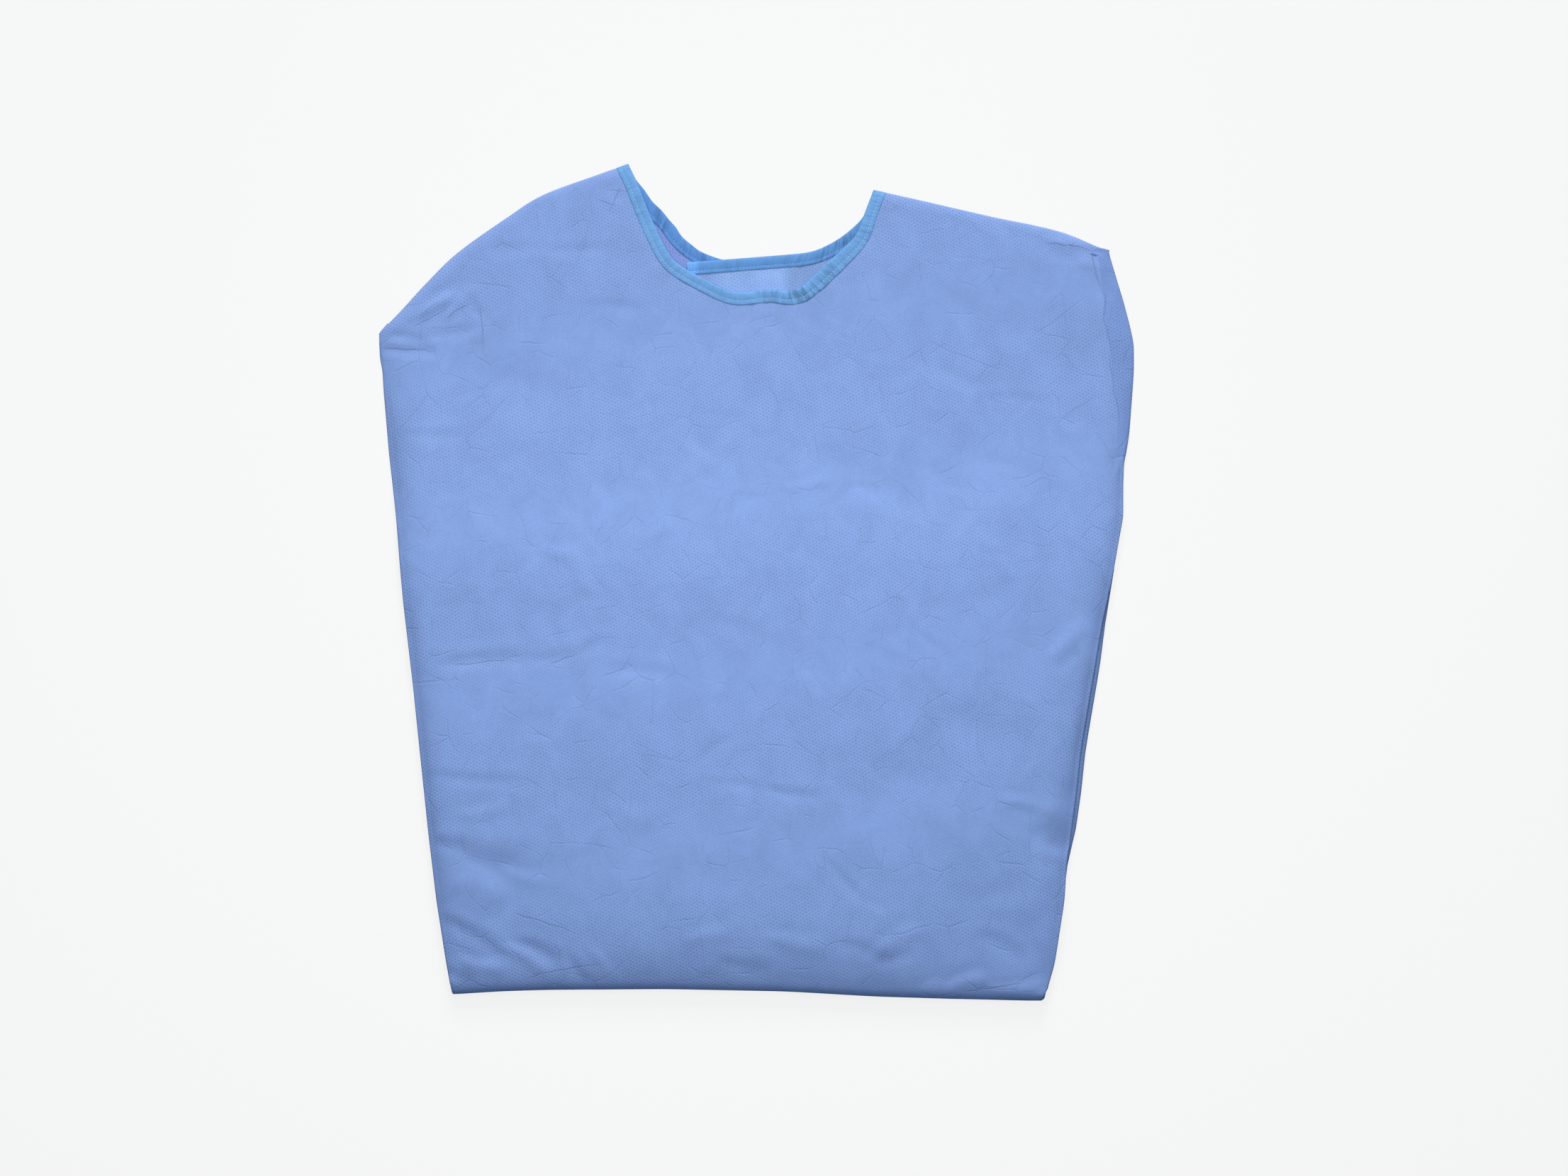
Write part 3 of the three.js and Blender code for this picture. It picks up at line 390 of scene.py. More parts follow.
def lattice_noise(x, y, size, seed):
    """Smooth noise from -1 to 1: random values on a square lattice, mixed between lattice points
    with smooth-step weights."""
    values = np.random.default_rng(seed).uniform(-1, 1, (LATTICE_CELLS, LATTICE_CELLS))
    u, v = x / size + LATTICE_START[0], y / size + LATTICE_START[1]
    i, j = np.floor(u).astype(int), np.floor(v).astype(int)
    s, t = smooth_step(u - i), smooth_step(v - j)
    pick = lambda a, b: values[a % LATTICE_CELLS, b % LATTICE_CELLS]
    low = pick(i, j) * (1 - s) + pick(i + 1, j) * s
    high = pick(i, j + 1) * (1 - s) + pick(i + 1, j + 1) * s
    return low * (1 - t) + high * t


def turned(x, y, degrees):
    """The two coordinates of a place turned about the origin."""
    c, s = math.cos(math.radians(degrees)), math.sin(math.radians(degrees))
    return x * c - y * s, x * s + y * c


def crinkle(x, y, strength):
    """The small relief all over soft cloth: broad swells, and sharp ridges along the lines where
    noise crosses zero, kept where a second noise is high."""
    total = np.zeros_like(x)
    for size, height, seed, angle in SWELLS:
        total += height * lattice_noise(*turned(x, y, angle), size, seed)
    for size, height, seed, angle in RIDGES:
        u, v = turned(x, y, angle)
        bend = lattice_noise(u, v, size, seed)
        mask = smooth_step(0.2 + 1.2 * lattice_noise(v, u, 1.6 * size, seed + 20))
        total += height * mask * (np.exp(-np.abs(bend) * 7) - 0.3)
    return strength * total


def layer_top(x, y):
    """The bundle's height at a place, less its drops towards the bottom fold, the low corners and
    the side folds. The last is less where the bundle is thin."""
    to_bottom = y - look_up(BOTTOM_LINE, x)
    height = look_up(TOP_TABLE, y) - look_up(DROP_TABLE, to_bottom)
    out = smooth_step((np.abs(x) - CORNER_START) / CORNER_REACH)
    height = height - look_up(CORNER_TABLE, to_bottom) * out
    to_side = np.minimum(x - look_up(LEFT_LINE, y), look_up(RIGHT_LINE, y) - x)
    spare = height - look_up(BASE_TABLE, y) - FOLD_CLEARANCE
    spare = np.clip(spare, 0, FULL_SPARE) / FULL_SPARE
    return height - spare * look_up(SIDE_DROP_TABLE, to_side)


def top_height(x, y):
    """The front's height: the bundle's, with creases and with crinkle, which is calmer near the
    neck."""
    calm = 0.75 + 0.25 * smooth_step((260 - y) / 120)
    creases = CREASE_STRENGTH * crease_height(x, y, CREASES)
    return layer_top(x, y) + creases + crinkle(x, y, calm)


def new_piece(name, points, faces):
    """An object with a smooth mesh of points in millimetres."""
    mesh = bpy.data.meshes.new(name)
    mesh.from_pydata((points * MM).tolist(), [], faces)
    mesh.polygons.foreach_set("use_smooth", np.ones(len(faces), bool))
    mesh.update()
    piece = bpy.data.objects.new(name, mesh)
    bpy.context.scene.collection.objects.link(piece)
    return piece


def add_surface(name, points, uv, closed_across=False, chosen=None):
    """A mesh from a grid of points in millimetres, rows by columns. Quad (j, i) joins points
    (j, i), (j+1, i), (j+1, i+1) and (j, i+1). chosen says which quads are kept."""
    rows, columns = points.shape[:2]
    j, i = np.indices((rows - 1, columns if closed_across else columns - 1))
    keep = np.ones(j.shape, bool) if chosen is None else chosen
    j, i = j[keep], i[keep]
    right = (i + 1) % columns
    quads = np.column_stack([j * columns + i, (j + 1) * columns + i,
                             (j + 1) * columns + right, j * columns + right])
    used, index = np.unique(quads, return_inverse=True)
    quads = index.reshape(-1, 4)
    piece = new_piece(name, points.reshape(-1, 3)[used], quads.tolist())
    flat = uv.reshape(-1, 2)[used][quads.ravel()] * MM
    layer = piece.data.uv_layers.new(name=CLOTH_MAP)
    layer.data.foreach_set("uv", flat.ravel().astype(np.float32))
    return piece


def thicken(piece, thickness):
    """Gives a sheet its thickness on its inner side, and sharp edges where it was cut."""
    shell = piece.modifiers.new("thickness", "SOLIDIFY")
    shell.thickness = thickness
    shell.offset = -1
    shell.use_even_offset = False
    graph = bpy.context.evaluated_depsgraph_get()
    solid = bpy.data.meshes.new_from_object(piece.evaluated_get(graph), depsgraph=graph)
    solid.name = piece.name
    piece.modifiers.clear()
    piece.data = solid
    solid.set_sharp_from_angle(angle=math.radians(CUT_EDGE_DEGREES))


def grid_area(points, chosen=None):
    """Area in square metres of a grid of points in millimetres: half the crossed diagonals."""
    d1 = points[1:, 1:] - points[:-1, :-1]
    d2 = points[1:, :-1] - points[:-1, 1:]
    cells = np.linalg.norm(np.cross(d1, d2), axis=2) / 2
    return float(cells[chosen].sum() if chosen is not None else cells.sum()) * MM * MM


# The front's grid: how many cells each stretch of the top edge and each part of the way down has
SHOULDER_CELLS_LEFT = 68
NECK_CELLS = 70
SHOULDER_CELLS_RIGHT = 54
FRONT_ROWS = 178
FOLD_STEPS = 7
TUCK_STEPS = 3
BOTTOM_STEPS = 12
SKIRT_ROWS = 22
WRAP_STEPS = 7
FRONT_CELLS = SHOULDER_CELLS_LEFT + NECK_CELLS + SHOULDER_CELLS_RIGHT
# The neck's columns run down to between these x at the bottom
NECK_COLUMNS = (-100, 95)
# Rows near the top edge: distance in, and how far below the edge. The first two are turned under it
EDGE_ROWS = [(1.4, 1.7), (0.25, 1.2), (0, 0), (0.7, 0), (1.7, 0), (3.2, 0), (5.4, 0), (8.2, 0)]
# Tuck behind the side folds in those rows, and how far it slants down: at the first row, and more
# for each row on. Below them the slant fades over some rows
EDGE_TUCK = (12, 3)
EDGE_SLANT = (2, 0.5)
SLANT_ROWS = 9
# The part of the front's grid that is the left sleeve
LEFT_SLEEVE_ROWS = len(EDGE_ROWS) + 2
LEFT_SLEEVE_COLUMNS = 18
# Trims of the shoulders at their outer ends
LEFT_END_TRIM = -1.03
RIGHT_END_TRIM = 0.52
# Share of a shoulder over which it takes the neck's depth, and width of its rounding
NEAR_NECK = 0.06
SHOULDER_ROUNDING = 10
# The skirt's right edge wraps round its fold this far in
SKIRT_WRAP = 16
# Inner panels of the backs
BACK_EDGE_CELLS = 60
BACK_EDGE_DEPTHS = (NECK_LIP, 2.2, 3.6, 5.5, 8, BINDING_WIDTH)
BACK_ROWS = 45
BACK_CREASES = [(38, 258, 42, 302, 1, 2.6, -0.7), (-10, 268, 30, 274, 2, 5, 0.3)]
# Height of the hidden back's outer face along the gown, inside the skirt and beyond it, how far in
# from the gown's outline it ends, its ends along the gown, and its rows and columns of points
HIDDEN_HEIGHTS = [(-352, 9), (-340, 3), (-300, 2.2), (12, 2.2), (17, 6.0), (24, 6.4), (36, 1.6),
                  (50, 1.5), (160, 1.5), (176, 1.6), (190, 2.6)]
HIDDEN_INSET = 14
HIDDEN_ENDS = (-346, 188)
HIDDEN_POINTS = (180, 150)


def top_edge(depth):
    """The front's top edge moved into the cloth by a depth, as left shoulder, neck and right
    shoulder columns. At the neck the cloth starts a lip's width in, under the binding."""
    corner_left = corner_trim(LEFT_SHOULDER, FRONT_NECK_LINE)
    corner_right = corner_trim(FRONT_NECK_LINE, RIGHT_SHOULDER)
    neck_depth = NECK_LIP + depth * (BINDING_WIDTH - NECK_LIP) / BINDING_WIDTH
    shares = [np.linspace(0, 1, cells + 1)
              for cells in (SHOULDER_CELLS_LEFT, NECK_CELLS, SHOULDER_CELLS_RIGHT)]
    near_left = smooth_step((shares[0] - 1 + NEAR_NECK) / NEAR_NECK)
    near_right = smooth_step((NEAR_NECK - shares[2]) / NEAR_NECK)
    left = inset_stretch(LEFT_SHOULDER, depth + (neck_depth - depth) * near_left, shares[0],
                         LEFT_END_TRIM, corner_left)
    neck = inset_stretch(FRONT_NECK_LINE, neck_depth, shares[1], corner_left, corner_right,
                         NECK_WINDOW)
    right = inset_stretch(RIGHT_SHOULDER, depth + (neck_depth - depth) * near_right, shares[2],
                          corner_right, RIGHT_END_TRIM)
    left[-1] = neck[0]
    right[0] = neck[-1]
    return np.vstack([left, neck[1:], right[1:]])


def neck_share(edge):
    """0 along the shoulders, rising to 1 on the neck at a set distance from both its corners."""
    start, end = SHOULDER_CELLS_LEFT, SHOULDER_CELLS_LEFT + NECK_CELLS
    nearest = np.minimum(np.linalg.norm(edge - edge[start], axis=1),
                         np.linalg.norm(edge - edge[end], axis=1))
    share = smooth_step(nearest / NECK_RISE)
    share[:start + 1] = 0
    share[end:] = 0
    return share


def edge_height(place, depth, share):
    """Height of the front near its top edge: rounded like a quarter circle down to the shoulder's
    height, but level with the cloth beside the neck."""
    full = top_height(place[:, 0], place[:, 1])
    rounding = np.sqrt(1 - (1 - np.clip(depth / SHOULDER_ROUNDING, 0, 1)) ** 2)
    rounded = SHOULDER_HEIGHT + (full - SHOULDER_HEIGHT) * rounding
    return rounded + (full - rounded) * share


def steps(count, start=0.0, end=1.0):
    """Even steps from just after the start to the end."""
    return np.linspace(start, end, count + 1)[1:]


BOTTOM_TURN = steps(BOTTOM_STEPS, FOLD_TURN, math.pi)


def line_at(table, y, z):
    """Points on a line whose x a table gives along the gown."""
    return np.column_stack([look_up(table, y), y, z])


def side_fold(start, fold, facing, depth, tuck, drop):
    """Points round a side fold and on into the tuck, for every row. From a starting turn t0 to half
    a turn: the start plus the way out to the fold times (sin t - sin t0) / (1 - sin t0), less
    facing times twice the depth times (cos t0 - cos t) / (cos t0 + 1)."""
    turn = steps(FOLD_STEPS, SIDE_TURN, math.pi)[None, :, None]
    out = (fold - start)[:, None] / (1 - math.sin(SIDE_TURN))
    down = facing[:, None] * depth[:, None, None] * 2 / (1 + math.cos(SIDE_TURN))
    place = (start[:, None] + out * (np.sin(turn) - math.sin(SIDE_TURN))
             - down * (math.cos(SIDE_TURN) - np.cos(turn)))
    inward = np.zeros_like(start)
    inward[:, 0] = -np.sign(fold[:, 0] - start[:, 0]) * tuck
    inward[:, 1] = -drop
    reach = steps(TUCK_STEPS)[None, :, None]
    return np.concatenate([place, place[:, -1:] + inward[:, None] * reach], axis=1)


def front_surface():
    """The outer face of the front as a grid. Rows run from the neck and shoulders down to the
    bottom fold, and columns from the left side fold to the armhole seam. Between the top edge and
    the bottom fold a point is the straight mix of both, pulled sideways so that the outer columns
    lie on the side fold and the seam. Returns the rows, the x of the bottom, and for every row the
    line of each side fold, half its height, the width of its tuck and how far that slants down."""
    rows = []
    share = neck_share(top_edge(0.0))
    for depth, lower in EDGE_ROWS:
        place = top_edge(depth)
        height = edge_height(place, 0 if lower else depth, share) - lower
        rows.append(np.column_stack([place, height]))
    top = top_edge(BINDING_WIDTH)

    columns = np.arange(FRONT_CELLS + 1)
    bottom_x = np.interp(
        columns, [0, SHOULDER_CELLS_LEFT, SHOULDER_CELLS_LEFT + NECK_CELLS, FRONT_CELLS],
        [BOTTOM_EDGE[0][0] + BOTTOM_SIDE_ROLL, *NECK_COLUMNS, RIGHT_SEAM[0][1]])
    bottom_y = look_up(BOTTOM_LINE, bottom_x) + BOTTOM_ROLL

    def roll(y):
        return np.minimum(SIDE_ROLL, look_up(TOP_TABLE, y) - look_up(BASE_TABLE, y))

    across = columns / FRONT_CELLS
    amount = (1 - np.linspace(0, 1, FRONT_ROWS + 1))[:, None]
    x = bottom_x + (top[:, 0] - bottom_x) * amount
    y = bottom_y + (top[:, 1] - bottom_y) * amount
    x += (look_up(LEFT_LINE, y[:, :1]) + roll(y[:, :1]) - x[:, :1]) * (1 - across)
    x += (look_up(smooth_table(RIGHT_SEAM, 1, 8), y[:, -1:]) - x[:, -1:]) * across
    rows = np.concatenate([np.array(rows), np.dstack([x, y, top_height(x, y)])])

    # Side folds of those rows
    row = np.arange(len(rows))
    at_edge = row < len(EDGE_ROWS)
    lower = SLEEVE_DROP * smooth_step((rows[:, -1, 1] - SLEEVE_START) / SLEEVE_FADE)
    lower *= smooth_step((rows[:, -1, 2] - 3) / 3)
    folds = (
        line_at(LEFT_LINE, np.minimum(rows[:, 0, 1], LEFT_EDGE[-1][0]), rows[:, 0, 2]),
        line_at(RIGHT_LINE, np.minimum(rows[:, -1, 1], RIGHT_EDGE[-1][0]), rows[:, -1, 2] - lower))
    depths = [(fold[:, 2] - np.maximum(look_up(BASE_TABLE, fold[:, 1]), at_edge)) / 2
              for fold in folds]
    tuck = np.where(at_edge, EDGE_TUCK[0] + EDGE_TUCK[1] * row, SIDE_TUCK)
    slant = EDGE_SLANT[0] + EDGE_SLANT[1] * np.minimum(row, len(EDGE_ROWS) - 1)
    drop = slant * np.clip(1 - (row - len(EDGE_ROWS) + 1) / SLANT_ROWS, 0, 1)
    return rows, bottom_x, folds, depths, tuck, drop


def bottom_fold(start):
    """Rows round the bottom fold: half of an ellipse that sets in with the top surface's slope."""
    reach = BOTTOM_ROLL / (1 - math.sin(FOLD_TURN))
    half = start[:, 2] / (1 + math.cos(FOLD_TURN))
    y = start[:, 1] - BOTTOM_ROLL + reach * (1 - np.sin(BOTTOM_TURN))[:, None]
    z = half * (1 + np.cos(BOTTOM_TURN))[:, None]
    return np.dstack([np.broadcast_to(start[:, 0], y.shape), y, z])


def skirt_rows(bottom_x, start_y):
    """Rows of the turned-up skirt, flat where it rests: shares of the way across at each y, raised
    a little in soft troughs away from its outer edges."""
    share = (bottom_x - bottom_x[0]) / (bottom_x[-1] - bottom_x[0])
    y = start_y + (HEM_Y - start_y) * steps(SKIRT_ROWS)[:, None]
    left = look_up(SKIRT_LEFT, y) + SKIRT_ROLL
    x = left + (look_up(SKIRT_RIGHT, y) - SKIRT_WRAP - left) * share
    relief = 0.25 * (1 + lattice_noise(*turned(x, y, 15), 70, 31))
    relief += 0.35 * np.exp(-np.abs(lattice_noise(*turned(x, y, 50), 46, 32)) * 8)
    inside = smooth_step(np.minimum(share, 1 - share) / 0.05) * smooth_step((HEM_Y - 22 - y) / 10)
    return np.dstack([x, y, relief * inside])


def front_grid():
    """Puts the front's rows, the bottom fold, the skirt and both side folds together, and gives
    each point its place on the flat cloth: x and y on the front, then the distance round each fold.
    Returns the points, their places, the front's first column and the bottom fold's first row."""
    rows, bottom_x, folds, depths, tuck, drop = front_surface()
    count = len(rows)
    bend = bottom_fold(rows[-1])
    skirt = skirt_rows(bottom_x, bend[-1, :, 1][None, :])
    main = np.concatenate([rows, bend, skirt])

    # Both side folds go on round the bottom fold and along the skirt
    corner_x, start_x = (x for _, x in RIGHT_EDGE[:2])
    bend_right_x = start_x + (corner_x - start_x) * np.sin(BOTTOM_TURN)
    bend_folds = (line_at(LEFT_LINE, bend[:, 0, 1], bend[:, 0, 2]),
                  np.column_stack([bend_right_x, bend[:, -1, 1:]]))
    skirt_folds = [line_at(table, skirt[:, k, 1], skirt[:, k, 2])
                   for table, k in ((SKIRT_LEFT, 0), (SKIRT_RIGHT, -1))]
    fold_l, fold_r = (np.vstack(parts) for parts in zip(folds, bend_folds, skirt_folds))
    ease = np.linspace(0, 1, BOTTOM_STEPS)
    deep_l, deep_r, tucks = (
        np.concatenate([front, front[-1] + (goal - front[-1]) * ease, np.full(SKIRT_ROWS, end)])
        for front, goal, end in ((depths[0], BOTTOM_SIDE_ROLL, SKIRT_ROLL),
                                 (depths[1], BOTTOM_SIDE_ROLL, SKIRT_ROLL),
                                 (tuck, SKIRT_TUCK, SKIRT_TUCK)))
    drops = np.concatenate([drop, np.zeros(BOTTOM_STEPS + SKIRT_ROWS)])
    turn = np.concatenate([np.zeros(count), BOTTOM_TURN, np.full(SKIRT_ROWS, math.pi)])
    face = np.column_stack([np.zeros(len(turn)), -np.sin(turn), np.cos(turn)])

    # The right side wraps from the armhole seam to where its fold starts
    seam = main[:, -1]
    way = (seam - fold_r)[:, :2]
    reach = np.maximum(np.linalg.norm(way, axis=1), 1e-6)
    wrap_end = fold_r.copy()
    roll = np.minimum(SIDE_ROLL, 2 * deep_r)
    wrap_end[:, :2] += way * (np.minimum(roll, 0.9 * reach) / reach)[:, None]
    on_body = smooth_step((UNDERARM_Y - seam[:, 1]) / UNDERARM_FADE)
    on_body[count:] = 0
    end_height = top_height(wrap_end[:, 0], wrap_end[:, 1])
    wrap_end[:, 2] += (end_height - wrap_end[:, 2]) * on_body
    share = steps(WRAP_STEPS)[None, :, None]
    wrap = seam[:, None] + (wrap_end - seam)[:, None] * share
    bent = seam[:, None, 2] + (wrap_end - seam)[:, None, 2] * share[..., 0] ** 1.6
    cloth = top_height(wrap[:, :, 0], wrap[:, :, 1])
    wrap[:, :, 2] = bent + (cloth - bent) * on_body[:, None]
    fold_r[:, 2] += (wrap_end[:, 2] - fold_r[:, 2]) * on_body
    body_depth = (wrap_end[:, 2] - look_up(BASE_TABLE, fold_r[:, 1])) / 2
    deep_r = np.where(on_body > 0, body_depth, deep_r)
    left = side_fold(main[:, 0], fold_l, face, deep_l, tucks, drops)[:, ::-1]
    right = side_fold(wrap_end, fold_r, face, deep_r, tucks, drops)
    points = np.concatenate([left, main, wrap, right], axis=1)

    side = left.shape[1]
    end = side + main.shape[1]
    lengths = np.linalg.norm(np.diff(points, axis=1), axis=2)
    down_steps = np.linalg.norm(np.diff(points, axis=0), axis=2)
    u, v = np.zeros((2, *points.shape[:2]))
    u[:, side:end] = main[:, :, 0]
    u[count:, side:end] = bottom_x
    u[:, :side] = u[:, [side]] - np.cumsum(lengths[:, side - 1::-1], axis=1)[:, ::-1]
    u[:, end:] = u[:, [end - 1]] + np.cumsum(lengths[:, end - 1:], axis=1)
    v[:count] = points[:count, :, 1]
    v[count:] = v[count - 1] - np.cumsum(down_steps[count - 1:], axis=0)
    return points, np.dstack([u, v]), side, count


def back_panel(edge_parts, ends, height_at, seed):
    """Flat inner panel of one back: its edge moved in step by step, then straight rows down to
    where it ends. Its height is that of the layer plus low soft creases."""
    first, second = edge_parts
    trim = corner_trim(first, second)
    shares = np.linspace(0, 1, BACK_EDGE_CELLS + 1)
    rows = []
    for depth in BACK_EDGE_DEPTHS:
        a = inset_stretch(first, depth, shares, 0, trim)
        b = inset_stretch(second, depth, shares, trim, 0)
        a[-1] = b[0]
        rows.append(np.vstack([a, b[1:]]))
    start = rows[-1]
    goal = np.column_stack([np.linspace(*ends, len(start)), np.full(len(start), BACK_PANEL_END)])
    down = start + (goal - start) * steps(BACK_ROWS)[:, None, None]
    flat = np.concatenate([np.array(rows), down])
    x, y = flat[..., 0], flat[..., 1]
    relief = 0.22 * lattice_noise(*turned(x, y, 25), 34, seed)
    relief += 0.3 * np.exp(-np.abs(lattice_noise(*turned(x, y, 60), 40, seed + 1)) * 9)
    relief += crease_height(x, y, BACK_CREASES)
    calm = smooth_step((np.arange(len(flat))[:, None] - 2) / 6)
    return np.dstack([flat, height_at(x) + relief * calm - 0.05]), flat


def overlap_height(x):
    """Height of the right back: lifted by the left one under it, up to where that one ends."""
    return BACK_HEIGHT + OVERLAP_LIFT * (1 - smooth_step((x - OVERLAP_END) / OVERLAP_FADE))


# A binding's profile round the neck edge: distance from the cloth's outline, height above the cloth
BINDING_PROFILE = np.array([
    (11.35, 0.1), (11.5, 0.28), (11.3, 0.46), (10.6, 0.56), (9.4, 0.6), (8.4, 0.56), (7.7, 0.4),
    (7.0, 0.56), (6.0, 0.7), (4.6, 0.8), (3.2, 0.82), (2.0, 0.76), (1.0, 0.58), (0.35, 0.25),
    (0.1, -0.2), (0.12, -0.8), (0.4, -1.0), (1.0, -0.9), (1.15, -0.3), (1.3, 0.1), (4.5, 0.1),
    (8, 0.1),
])
BINDING_STEP = 2.2
# The profile's point that the stitches run along, and how far above it they lie
STITCH_RING = 6
STITCH_LIFT = 0.08
# Rings of a stitch: distance along it from its middle, and radius. Its ends sink into the strip
STITCH_RINGS = [(-1.15, 0.12), (-0.75, 0.32), (0.75, 0.32), (1.15, 0.12)]
STITCH_SIDES = 6
STITCH_SINK = 0.18
# Shares of the back necks' lengths at which the left strip starts and the right one ends
LEFT_STRIP_START = 0.02
RIGHT_STRIP_END = 0.985
# How much wider the front's strip is where it was eased round the low right bend: along, times
FRONT_WIDTHS = [(0, 1), (190, 1), (215, 1.12), (235, 1.3), (262, 1.24), (290, 1.08), (312, 1)]
# Bulges of the back left strip's outer edge between the stitches that hold it: along, reach, height
SCALLOPS = [(14, 7, 0.5), (37, 8, 1.2), (59, 6, 1.0), (80, 7, 0.6), (101, 8, 0.4)]


def binding_surface(place_at, height_at, length, puckers, floor):
    """A strip folded over the neck edge: the profile carried along the edge. Each point is the edge
    moved in by the profile's distance, at the cloth's height there plus the profile's, which grows
    by its share of the puckers: bell curves along the strip that lean by their slant."""
    shares = np.linspace(0, 1, int(length / BINDING_STEP) + 1)
    along = shares * length
    rings = []
    for depth, rise in BINDING_PROFILE:
        place = place_at(depth, shares)
        panel = height_at(place, max(depth, NECK_LIP))
        ripple = sum(height * np.exp(-((along - centre - slant * (depth - 5)) / width) ** 2)
                     for centre, width, height, slant in puckers)
        ripple += 0.15 * lattice_noise(along, np.full(len(along), depth), 5.5, 41)
        lift = max(rise, 0) / 1.2 * ripple * (1 if depth > 1.2 else 0.6)
        rings.append(np.column_stack([place, np.maximum(panel + rise + lift, floor)]))
    uv = np.dstack(np.meshgrid(along, distances(BINDING_PROFILE), indexing="ij"))
    return np.array(rings).transpose(1, 0, 2), uv


def close_ends(mesh, rows, columns):
    """Fills the first and last ring of a tube with one face each."""
    shape = bmesh.new()
    shape.from_mesh(mesh)
    shape.verts.ensure_lookup_table()
    shape.faces.new([shape.verts[k] for k in range(columns)])
    shape.faces.new([shape.verts[(rows - 1) * columns + k] for k in range(columns)][::-1])
    bmesh.ops.recalc_face_normals(shape, faces=shape.faces)
    shape.to_mesh(mesh)
    shape.free()


def linear(hex_colour):
    """An sRGB colour of six hex digits as linear red, green, blue and 1."""
    channels = np.array([int(hex_colour[k:k + 2], 16) for k in (0, 2, 4)]) / 255
    low, high = channels / 12.92, ((channels + 0.055) / 1.055) ** 2.4
    return [*np.where(channels <= 0.04045, low, high).tolist(), 1.0]


def add_node(material, kind, links=(), values=(), **settings):
    """Adds one shader node: settings are its own properties, values and links are (socket, value)
    and (socket, output) pairs."""
    node = material.node_tree.nodes.new(kind)
    for key, value in settings.items():
        setattr(node, key, value)
    for socket, value in values:
        node.inputs[socket].default_value = value
    for socket, output in links:
        material.node_tree.links.new(output, node.inputs[socket])
    return node


def start_material(name, roughness, specular, sheen):
    """A new material with its Principled shader, whose uniform values are on its own sockets."""
    material = bpy.data.materials.new(name)
    material.use_nodes = True
    shader = material.node_tree.nodes["Principled BSDF"]
    shader.inputs["Roughness"].default_value = roughness
    shader.inputs["Specular IOR Level"].default_value = specular
    shader.inputs["IOR"].default_value = 1.49
    shader.inputs["Sheen Weight"].default_value = sheen
    shader.inputs["Sheen Roughness"].default_value = 0.5
    return material, shader


# Rows of bond points cross the cloth in three directions. The real rows are 1.72 mm apart, which is
# about one pixel of the picture, so they are drawn 1.6 times as coarse to show.
BOND_DIRECTIONS = (7, 66, 126)
BOND_ROWS = 1.72 * 1.6
DENT_DEPTH = 0.12
# Crease marks: scale of their cells, width of a line in cells, scale of the noise that keeps some
CREASE_MARKS = ((19, 0.03, 27), (34, 0.045, 34))
# How much darker crease lines and sharp creases are drawn: painted shade in their hollows
CREASE_SHADE_TONE = 0.94
FINE_LINE_SHADE_TONE = 0.8
GATHER_DEPTH = 0.5


def joined(material, operation, nodes):
    """The first outputs of several nodes, joined one after the other by an operation."""
    total = nodes[0]
    for node in nodes[1:]:
        total = add_node(material, "ShaderNodeMath",
                         [(0, total.outputs[0]), (1, node.outputs[0])], operation=operation)
    return total


def vectors(material, operation, links, values=()):
    """A vector operation on linked and set sockets."""
    return add_node(material, "ShaderNodeVectorMath", links, values, operation=operation)


def noise(material, place, scale, detail, roughness=0.5, distortion=0.0):
    """Fractal noise over the places of a socket."""
    return add_node(material, "ShaderNodeTexNoise", [("Vector", place)],
                    [("Scale", scale), ("Detail", detail), ("Roughness", roughness),
                     ("Distortion", distortion)])


def between(material, source, low, high, to_low, to_high, kind="LINEAR"):
    """Maps a socket's range from low..high onto to_low..to_high."""
    return add_node(material, "ShaderNodeMapRange", [("Value", source)],
                    [("From Min", low), ("From Max", high), ("To Min", to_low),
                     ("To Max", to_high)], interpolation_type=kind)


# The armhole seam and the sharpest creases of the front, too fine for the mesh: from x, y to x, y,
# and half the width. The first four are beside the right sleeve. They are drawn darker: painted
# shade in the creases, and at the seam partly its own double layer
FINE_LINES = [
    (304, 304, 312, 256, 1.7), (313, 262, 321, 205, 1.2), (321, 212, 327, 132, 1.2),
    (262, 306, 306, 302, 1.0), (-341, 212, -286, 208, 1.3), (-312, 229, -278, 248, 0.9),
    (-284, 236, -254, 254, 0.9), (-251, 248, -248, 208, 1.1), (-124, 360, -132, 334, 1.1),
    (-143, 347, -122, 341, 0.9), (-279, -74, -205, -69, 1.1), (-186, -71, -157, -63, 1.2),
    (-141, -82, -112, -75, 1.0), (-216, -299, -157, -319, 1.1), (-209, -357, -130, -342, 1.0),
    (186, -368, 248, -358, 1.0),
]


def fine_line(material, place, x1, y1, x2, y2, half_width):
    """1 on a line, falling to 0 at half the width beside it and towards both its ends."""
    length = math.hypot(x2 - x1, y2 - y1)
    ex, ey = (x2 - x1) / length, (y2 - y1) / length
    apart = vectors(material, "SUBTRACT", [(0, place)], [(1, (x1 * MM, y1 * MM, 0))])
    along, across = (
        vectors(material, "DOT_PRODUCT", [(0, apart.outputs[0])], [(1, way)]).outputs["Value"]
        for way in ((ex, ey, 0), (-ey, ex, 0)))
    beside = add_node(material, "ShaderNodeMath", [(0, across)], operation="ABSOLUTE")
    return joined(material, "MULTIPLY", [
        between(material, beside.outputs[0], 0, half_width * MM, 1, 0, "SMOOTHSTEP"),
        between(material, along, 0, 0.15 * length * MM, 0, 1),
        between(material, along, 0.6 * length * MM, length * MM, 1, 0)])


def bump(material, height, depth, below=(), invert=False):
    """Relief from a height socket: the depth is in millimetres, below links the relief under it."""
    return add_node(material, "ShaderNodeBump", [("Height", height), *below],
                    [("Strength", 1.0), ("Distance", depth * MM)], invert=invert)


